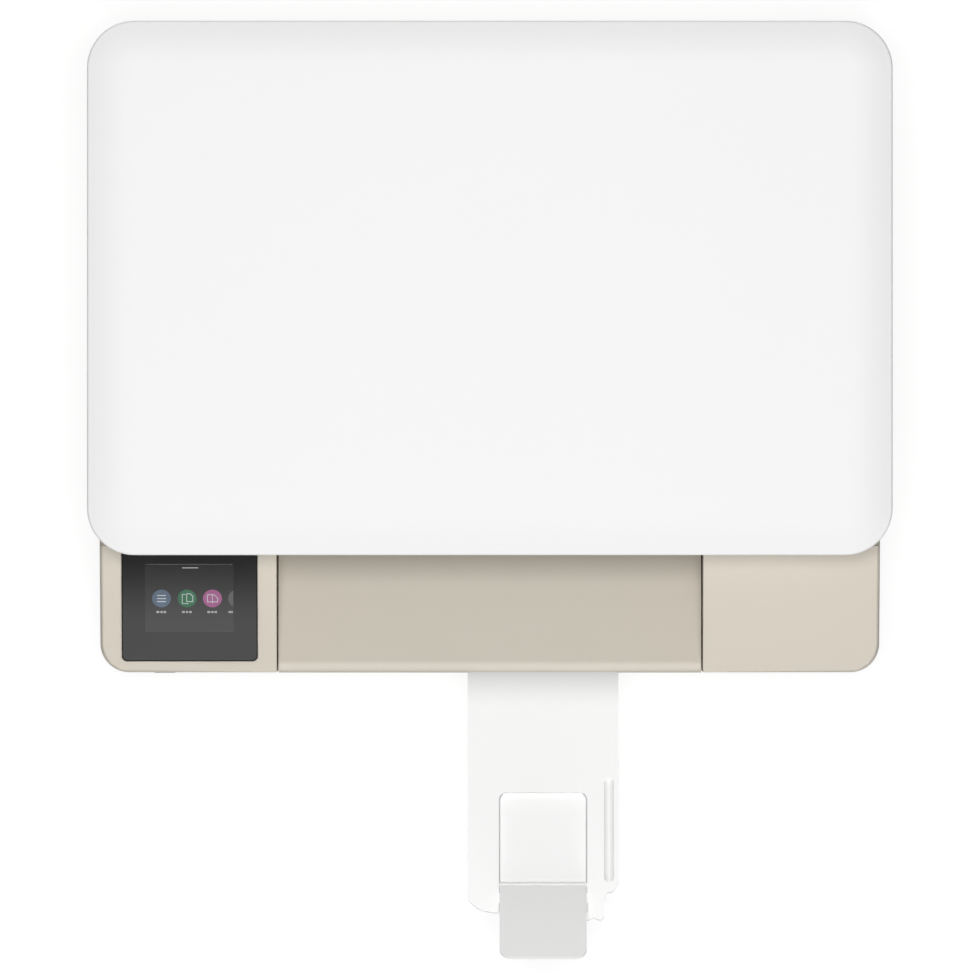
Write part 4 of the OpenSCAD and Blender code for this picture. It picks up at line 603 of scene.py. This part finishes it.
def on_bed(points):
    """Takes rows of (across, along the bin's floor to the rear, off the floor) to the room."""
    across, along, off = points[..., 0], points[..., 1], points[..., 2]
    y = BED_Y + along * math.cos(BED) + off * math.sin(BED)
    z = BED_Z - along * math.sin(BED) + off * math.cos(BED)
    return np.stack([across, y, z], axis=-1)


def root_shade_share(tree, axes):
    """Painted shade at the root, where the bin's lip shades the extender: a share of 0.42 (1 - t)^1.6
    towards near-black over the first 21 mm past the lip.
    """
    way = sums(tree, "DIVIDE", sums(tree, "SUBTRACT", -0.1038, axes["Y"]), ROOT_LONG)
    left = sums(tree, "SUBTRACT", 1.0, sums(tree, "MINIMUM", sums(tree, "MAXIMUM", way, 0.0), 1.0))
    return sums(tree, "MULTIPLY", sums(tree, "POWER", left, 1.6), 0.42)


# Painted shade: the extender darkens towards its root, where it slides out under the lip.
tint_along(satin_white, root_shade_share, (0.02, 0.02, 0.02, 1))
wear(satin_white, "tray_extender")
wear(flap_grey, "paper_stop")

guide_black = moulding("guide_black", (0.020, 0.020, 0.021), 0.42, 1600.0, 0.2, 0.2, 0.05)
# A mid grey for strips that stand for the shade in the channels beside the flap.
channel_shade_grey = moulding("channel_shade_grey", (0.52, 0.52, 0.52), 0.5, 2400.0, 0.08, 0.03, 0.0, gloss=0.2)

# A grey strip lies along each side of the flap's seat and turns in at its rear: painted shade for the
# dark channel there. Thin dark strips stand on the same walls beside the hinge, clear of the flap's pin:
# painted shade for the gaps at the hinge.
TURN_R = 0.0036
TURN_Y = -0.0778
STRIP_LOW, STRIP_TOP, GAP_SHADE_TOP = -0.00915, -0.0086, -0.0056
gap_shade_runs = ((-0.1280, -0.1312), (-0.1372, -0.1424))
turn_in = np.radians(np.linspace(0, 60, 8))
corner_path = np.stack([TURN_R * (1 - np.cos(turn_in)), TURN_R * np.sin(turn_in) + TURN_Y], axis=-1)
for label, side, wall in (("left", 1, 0.00525 + 0.0004), ("right", -1, 0.05575 - 0.0004)):
    route = np.vstack([[0.0, -0.1252], corner_path]) * (side, 1) + (wall, 0.0)
    ribbon(route, 0.00066, STRIP_LOW, STRIP_TOP, on_bed, "channel_shade_strip_" + label, channel_shade_grey,
           ("extender", "light_grey"), closed=False)
    # Dark strips on the walls beside the hinge: painted shade for the gaps there.
    for step, (rear, front) in enumerate(gap_shade_runs):
        gap_shade_x = wall - side * 0.0003
        ribbon([(gap_shade_x, rear), (gap_shade_x, front)], 0.0002, STRIP_TOP, GAP_SHADE_TOP, on_bed,
               "hinge_gap_shade_%s_%d" % (label, step + 1), guide_black, ("extender", "black_plastic"),
               closed=False)


# ------------------------------------------------------------------ paper tray
# The tray is moulded with the body's plastic. Its guides are light grey acetal, which slides well.

guide_acetal = moulding("guide_acetal", (0.56, 0.565, 0.55), 0.36, 2400.0, 0.06, 0.02, 0.0)
wear(body_sand, "paper_tray")
wear(guide_acetal, "width_guide_left", "width_guide_right", "guide_pinion", "length_guide")


# ------------------------------------------------------------------ print engine
# Black glass-filled frame parts, bright zinc-plated sheet, ground steel shafts, white acetal gears,
# rubber tyres, and a green board with its parts.


def plated(name, colour, rough, along=(1.0, 1.0, 1.0)):
    """Metal: fine streaks, drawn out along one axis by scaling the point, vary colour and roughness."""
    streak = 0.12
    made, tree, shader, where = blank_material(name)
    shader.inputs["Metallic"].default_value = 1.0
    turn = tree.nodes.new("ShaderNodeMapping")
    turn.inputs["Scale"].default_value = along
    tree.links.new(where, turn.inputs["Vector"])
    grain = cloud(tree, turn.outputs[0], 900.0, 4.0, 0.65)
    bloom = cloud(tree, where, 70.0, 3.0)
    dim = sums(tree, "MULTIPLY_ADD", bloom, streak, 1.0 - streak)
    tree.links.new(scaled_by(tree, colour, dim), shader.inputs["Base Color"])
    tree.links.new(about(tree, grain, 0.25, rough), shader.inputs["Roughness"])
    raise_by(tree, shader, grain, 0.08, 0.00005)
    return made


def rubber(name, colour, pitch):
    """Ground rubber: fine rings round the roller, crossed by soft noise, over a dull black."""
    made, tree, shader, where = blank_material(name)
    height = spark_skin(tree, shader, where, colour, pitch, 0.8, 0.3)
    rings = tree.nodes.new("ShaderNodeTexWave")
    rings.bands_direction = "X"
    rings.inputs["Scale"].default_value = 320.0
    rings.inputs["Distortion"].default_value = 0.6
    tree.links.new(where, rings.inputs["Vector"])
    ridged = sums(tree, "MULTIPLY_ADD", rings.outputs["Fac"], 0.6, height)
    raise_by(tree, shader, ridged, 0.35, 0.0001)
    return made


engine_black = moulding("engine_black", (0.030, 0.030, 0.032), 0.5, 1300.0, 0.3, 0.2, 0.08)
station_grey = moulding("station_grey", (0.075, 0.075, 0.082), 0.5, 1300.0, 0.25, 0.15, 0.05)
acetal_white = moulding("acetal_white", (0.86, 0.86, 0.83), 0.3, 2600.0, 0.05, 0.02, 0.0)
arm_grey = moulding("arm_grey", (0.50, 0.51, 0.51), 0.4, 2200.0, 0.08, 0.03, 0.0)
roller_grey = moulding("roller_grey", (0.66, 0.66, 0.65), 0.36, 2400.0, 0.06, 0.03, 0.0)
ink_black = moulding("ink_black", (0.012, 0.012, 0.013), 0.34, 1800.0, 0.12, 0.2, 0.0)
ink_slate = moulding("ink_slate", (0.055, 0.058, 0.072), 0.34, 1800.0, 0.12, 0.2, 0.0)
zinc_sheet = plated("zinc_sheet", (0.62, 0.63, 0.64), 0.36)
ground_steel = plated("ground_steel", (0.66, 0.66, 0.67), 0.2, (0.06, 1.0, 1.0))
motor_can = plated("motor_can", (0.56, 0.57, 0.58), 0.32, (1.0, 0.2, 1.0))
pinion_brass = plated("pinion_brass", (0.72, 0.52, 0.22), 0.28)
tyre_black = rubber("tyre_black", (0.016, 0.016, 0.016), 2400.0)
belt_black = rubber("belt_black", (0.014, 0.014, 0.014), 2600.0)
wear(engine_black, "engine_frame")
wear(guide_black, "platen", "rear_paper_guide", "pinch_holder", "star_holder", "carriage")
wear(station_grey, "service_station")
wear(acetal_white, "feed_gear", "exit_gear", "idler_gear", "belt_idler", "belt_pulley")
wear(roller_grey, "pinch_rollers")
wear(arm_grey, "pick_arm")
wear(ink_black, "cartridge_black")
wear(ink_slate, "cartridge_colour")
wear(zinc_sheet, "side_frames", "carriage_rail", "drive_plate", "star_wheels")
wear(ground_steel, "feed_roller", "exit_shaft", "guide_rod")
wear(motor_can, "feed_motor", "carriage_motor")
wear(pinion_brass, "motor_pinion")
wear(tyre_black, "exit_rolls", "turn_roller", "pick_roller")
wear(belt_black, "carriage_belt")


PORT_X = -0.1628
PART_OFF = 0.00168
PORT_SHELL_Y = 0.2472


def make_board_green():
    """Printed circuit board: green lacquer over paler tracks drawn by a fine brick pattern, with
    bright pads where a cell's distance is smallest. What stands off the board is black, and the data
    port at its rear end is a nickel shell."""
    made, tree, shader, where = blank_material("board_green")
    tracks = tree.nodes.new("ShaderNodeTexBrick")
    tracks.inputs["Scale"].default_value = 130.0
    tracks.inputs["Mortar Size"].default_value = 0.08
    tracks.inputs["Color1"].default_value = (0.010, 0.105, 0.040, 1)
    tracks.inputs["Color2"].default_value = (0.012, 0.125, 0.050, 1)
    tracks.inputs["Mortar"].default_value = (0.030, 0.200, 0.085, 1)
    tree.links.new(where, tracks.inputs["Vector"])
    dots = tree.nodes.new("ShaderNodeTexVoronoi")
    dots.inputs["Scale"].default_value = 260.0
    tree.links.new(where, dots.inputs["Vector"])
    pads = spread(tree, dots.outputs["Distance"], 0.16, 0.12)
    axes = axes_of(tree, where)
    part = sums(tree, "GREATER_THAN", axes["X"], PORT_X + PART_OFF)
    shell = sums(tree, "GREATER_THAN", axes["Y"], PORT_SHELL_Y)
    green = blend_of(tree, pads, tracks.outputs["Color"], (0.55, 0.50, 0.38, 1))
    dressed = blend_of(tree, part, green, (0.016, 0.016, 0.017, 1))
    tree.links.new(blend_of(tree, shell, dressed, (0.56, 0.56, 0.57, 1)), shader.inputs["Base Color"])
    tree.links.new(shell, shader.inputs["Metallic"])
    tree.links.new(spread(tree, cloud(tree, where, 200.0), 0.3, 0.7, 0.28, 0.42),
                   shader.inputs["Roughness"])
    return made


wear(make_board_green(), "main_board")
wear(guide_black, "power_supply")


# ------------------------------------------------------------------ scanner
# The tub and the top frame are white polystyrene with a satin face. The pane is float glass, the rod
# ground steel, and the scan head a black bar with a pale lens strip.

scanner_white = moulding("scanner_white", (0.860, 0.862, 0.860), 0.45, 1900.0, 0.10, 0.015, 0.0)
prop_grey = moulding("prop_grey", (0.050, 0.050, 0.052), 0.45, 1500.0, 0.2, 0.1, 0.0)


def make_float_glass():
    """Clear float glass, faintly green, with wipe marks in its roughness."""
    made, tree, shader, where = blank_material("float_glass")
    shader.inputs["Transmission Weight"].default_value = 1.0
    shader.inputs["IOR"].default_value = 1.52
    marks = cloud(tree, where, 30.0, 4.0)
    tree.links.new(blend_of(tree, marks, (0.93, 0.97, 0.95, 1), (0.97, 0.99, 0.98, 1)),
                   shader.inputs["Base Color"])
    tree.links.new(spread(tree, marks, 0.3, 0.8, 0.0, 0.04), shader.inputs["Roughness"])
    return made


wear(scanner_white, "scanner_base", "scanner_frame", "lid_hinge_posts")
wear(make_float_glass(), "scan_glass")
wear(ground_steel, "scan_rod")
wear(guide_black, "scan_head")
wear(prop_grey, "prop_arms")


# ------------------------------------------------------------------ lid
# One white moulding with a soft pillowed edge, a vertical skirt and a fine satin texture. A sponge pad
# with a white film face is glued inside, and presses the sheet on the pane.

LID_HALF = 0.2292
LID_FRONT = FRONT_Y + 0.0673
LID_REAR = FRONT_Y + 0.3713
LID_LOW = 0.1695
LID_TOP = 0.1910
LID_CORNER = 0.027
PILLOW = 0.024
PILLOW_DROP = 0.0046
POST_X = 0.140
POST_HALF = 0.008
NOTCH_HALF = POST_HALF + 0.0004
NOTCH_TOP = 0.1748
NOTCH_STEP = 0.00001
PIN_Y, PIN_Z = FRONT_Y + 0.3668, 0.1712
EAR_R = 0.0023


def lid_ring(inset, height, count=26):
    """A ring of the lid: the plan outline drawn in by the inset, its corner radius shrinking with it
    but never under 4 mm, at one height. Along the rear two short stretches never come lower than
    the notches that clear the hinge posts."""
    radius = max(LID_CORNER - inset, 0.004 + 0.25 * (LID_CORNER - min(inset, LID_CORNER)))
    flat = inset_outline((-LID_HALF, LID_HALF, LID_FRONT, LID_REAR), inset, radius, count)
    edges = np.array([POST_X + NOTCH_HALF + NOTCH_STEP, POST_X + NOTCH_HALF, POST_X - NOTCH_HALF,
                      POST_X - NOTCH_HALF - NOTCH_STEP])
    across = np.clip(np.concatenate([edges, -edges[::-1]]), radius + inset - LID_HALF,
                     LID_HALF - inset - radius)
    rear = at_height(across, LID_REAR - inset)
    ring = at_height(np.concatenate([flat[:2 * count], rear, flat[2 * count:]]), height)
    for i in (1, 2, 5, 6):
        ring[2 * count + i, 2] = max(height, NOTCH_TOP + (height - LID_LOW) * 0.2)
    return ring


def pillow_height(inset):
    """Height of the lid's top over the inset from its edge: level inside, and falling with a power of
    the way into the soft edge, so that the slope grows smoothly from nothing."""
    way = np.clip(1 - inset / PILLOW, 0, 1)
    return LID_TOP - PILLOW_DROP * way ** 2.1


def lid_profile():
    """(inset, height) from the middle of the inner face, down the inner wall, round the rim, up the
    outer wall and over the pillowed edge to the middle of the top."""
    skin, rim, roll_in, roll_up = 0.0025, 0.0004, 0.0018, 0.0020
    insets_in = (0.140, 0.090, 0.050, 0.030, 0.024, 0.020, 0.016, 0.012, 0.008, 0.005)
    insets_out = (0.0024, 0.0034, 0.0048, 0.0065, 0.0085, 0.0105, 0.0125, 0.0145, 0.0165, 0.0185,
                  0.0205, 0.0225, 0.0245, 0.028, 0.040, 0.070, 0.110, 0.140)
    inner = [(d, pillow_height(d) - skin) for d in insets_in]
    wall = [(skin, LID_TOP - PILLOW_DROP - 0.0045), (skin, LID_LOW + rim), (skin - 0.0003, LID_LOW),
            (rim, LID_LOW), (0.0, LID_LOW + rim)]
    edge_z = pillow_height(roll_in)
    turn = np.linspace(0, np.pi / 2 * 0.9, 8)
    roll = [(roll_in * (1 - math.cos(t)), edge_z - roll_up + roll_up * math.sin(t)) for t in turn]
    return inner + wall + roll + [(d, pillow_height(d)) for d in insets_out]


lid_white = moulding("lid_white", (0.912, 0.912, 0.910), 0.46, 1500.0, 0.10, 0.010, 0.0, gloss=0.2)
lid_rings = [lid_ring(d, z) for d, z in lid_profile()]
lid_shell = stacked("lid_shell", lid_rings, lid_white, "lid", "white_casing", sharp=40.0)
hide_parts("lid_cover")
EAR_TOP = 0.1845
EAR_THICK = 0.003
EAR_CHAMFER = 0.0002
PIN_R = 0.0015
PIN_OVER = 0.0024


def along_x(middle, offsets, levels):
    """Rings across x: at each (x, share) the offsets from the middle, drawn in by the share."""
    return [np.column_stack([np.full(len(offsets), x), middle + offsets * grow]) for x, grow in levels]


def hinge_ear(name, x0, x1):
    """A leaf of the lid's hinge: a half disc about the pin below and straight sides up into the lid,
    with its two edges broken by a fifth of a millimetre."""
    a = np.linspace(np.pi, 2 * np.pi, 25)
    profile = np.concatenate([np.stack([PIN_Y + EAR_R * np.cos(a), PIN_Z + EAR_R * np.sin(a)], axis=-1),
                              [[PIN_Y + EAR_R, EAR_TOP], [PIN_Y - EAR_R, EAR_TOP]]])
    middle = profile.mean(axis=0)
    levels = [(x0, 0.95), (x0 + EAR_CHAMFER, 1.0), (x1 - EAR_CHAMFER, 1.0), (x1, 0.95)]
    return stacked(name, along_x(middle, profile - middle, levels), lid_white, "lid", "white_casing")


def cross_pin(name, x0, x1):
    """A ground pin along x with its two ends broken."""
    disc = circle(0.0, 0.0, PIN_R, 32)
    levels = [(x0, 0.8), (x0 + PIN_R * 0.2, 1.0), (x1 - PIN_R * 0.2, 1.0), (x1, 0.8)]
    return stacked(name, along_x((PIN_Y, PIN_Z), disc, levels), ground_steel, "lid", "steel")


for side, post in (("left", -POST_X), ("right", POST_X)):
    hinge_ear("lid_ear_%s_a" % side, post - NOTCH_HALF - EAR_THICK, post - NOTCH_HALF)
    hinge_ear("lid_ear_%s_b" % side, post + NOTCH_HALF, post + NOTCH_HALF + EAR_THICK)
    cross_pin("lid_pin_" + side, post - POST_HALF - PIN_OVER, post + POST_HALF + PIN_OVER)

PAD_HALF = 0.158
BELLY = 0.0016


def make_pad_film():
    """White film over sponge: a shallow quilt of the sponge's cells in the height, a hint of sheen in
    the roughness."""
    made, tree, shader, where = blank_material("pad_film")
    cells = tree.nodes.new("ShaderNodeTexVoronoi")
    cells.inputs["Scale"].default_value = 420.0
    tree.links.new(where, cells.inputs["Vector"])
    tone = cloud(tree, where, 16.0, 3.0)
    tree.links.new(blend_of(tree, tone, (0.86, 0.86, 0.85, 1), (0.90, 0.90, 0.89, 1)),
                   shader.inputs["Base Color"])
    tree.links.new(spread(tree, cells.outputs["Distance"], 0.0, 0.8, 0.38, 0.52),
                   shader.inputs["Roughness"])
    raise_by(tree, shader, sums(tree, "ADD", cells.outputs["Distance"], tone), 0.3, 0.0002)
    return made


def pad_rings(low, high, y0, y1):
    """A pressed sponge: its sides belly out between its two faces by the sine of the way up, and its
    faces crown by a fraction of a millimetre towards the middle."""
    way = np.linspace(0, 1, 9)
    side = [(BELLY * (1 - math.sin(math.pi * w)) + 0.0001, low + 0.0003 + (high - low - 0.0006) * w)
            for w in way]
    face = [(0.004, 0.0001), (0.012, 0.00003), (0.05, 0.0), (0.09, 0.0)]
    levels = [(d, low + z) for d, z in reversed(face)] + side + [(d, high - z) for d, z in face]
    return [at_height(inset_outline((-PAD_HALF, PAD_HALF, y0, y1), d, 0.003, 8), z) for d, z in levels]


pad_low, pad_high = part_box("lid_liner")
foam_rings = pad_rings(pad_low.z, pad_high.z, pad_low.y, pad_high.y)
lid_pad = stacked("lid_pad", foam_rings, make_pad_film(), "lid", "liner")
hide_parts("lid_liner")


# ------------------------------------------------------------------ room
# A pale floor, a soft lamp overhead, weaker ones low in front and behind, and a pale world. Floor and
# world look white, but light the printer far less than that.


def seen_share(tree):
    """One for rays from the camera, a mirror or through glass, and nothing for scattered light."""
    rays = tree.nodes.new("ShaderNodeLightPath").outputs
    return sums(tree, "MAXIMUM", rays["Is Camera Ray"],
                sums(tree, "MAXIMUM", rays["Is Glossy Ray"], rays["Is Transmission Ray"]))


floor_mesh = bpy.data.meshes.new("floor")
FAR = 30
floor_mesh.from_pydata([(-FAR, -FAR, 0), (FAR, -FAR, 0), (FAR, FAR, 0), (-FAR, FAR, 0)], [],
                       [(0, 1, 2, 3)])
floor = bpy.data.objects.new("floor", floor_mesh)
bpy.context.scene.collection.objects.link(floor)
floor_paint, floor_tree, floor_shader, floor_where = blank_material("floor_paint")
floor_tone = cloud(floor_tree, floor_where, 3.0, 3.0)
floor_tree.links.new(blend_of(floor_tree, floor_tone, (0.27, 0.27, 0.27, 1), (0.29, 0.29, 0.29, 1)),
                     floor_shader.inputs["Base Color"])
floor_shader.inputs["Roughness"].default_value = 0.85
floor_shader.inputs["Specular IOR Level"].default_value = 0.1
floor_shader.inputs["Emission Color"].default_value = (1, 1, 1, 1)
floor_tree.links.new(sums(floor_tree, "MULTIPLY", seen_share(floor_tree), 0.82),
                     floor_shader.inputs["Emission Strength"])
floor_mesh.materials.append(floor_paint)

world = bpy.data.worlds.new("studio")
bpy.context.scene.world = world
world.use_nodes = True
sky = world.node_tree
sky_glow = sky.nodes["Background"]
sky_glow.inputs["Color"].default_value = (1, 1, 1, 1)
sky.links.new(sums(sky, "MULTIPLY_ADD", seen_share(sky), 0.83, 0.17), sky_glow.inputs["Strength"])


LAMP_AIM = (0, 0, 0.1)


def soft_lamp(name, place, size, power):
    """A square soft box at a place, turned to face the printer."""
    lamp = bpy.data.lights.new(name, "AREA")
    lamp.shape = "SQUARE"
    lamp.size = size
    lamp.energy = power
    made = bpy.data.objects.new(name, lamp)
    made.location = place
    made.visible_camera = False
    ahead = np.asarray(LAMP_AIM, float) - np.asarray(place, float)
    tilt = math.atan2(math.hypot(ahead[0], ahead[1]), -ahead[2])
    made.rotation_euler = (tilt, 0.0, math.atan2(ahead[0], -ahead[1]) + math.pi)
    bpy.context.scene.collection.objects.link(made)


soft_lamp("top_lamp", (0.0, 0.04, 3.6), 1.1, 76.0)
soft_lamp("low_lamp", (0.3, -3.4, 1.5), 1.8, 45.0)
soft_lamp("rear_lamp", (-0.9, 3.3, 1.0), 1.8, 22.0)

eye = bpy.data.cameras.new("plan_view")
eye.sensor_width = 36.0
eye.lens = 808.0
eye.clip_end = 80.0
camera = bpy.data.objects.new("plan_view", eye)
camera.location = (0.0001, 0.00053, 12.7)
bpy.context.scene.collection.objects.link(camera)
bpy.context.scene.camera = camera
bpy.context.scene.view_settings.view_transform = "Standard"
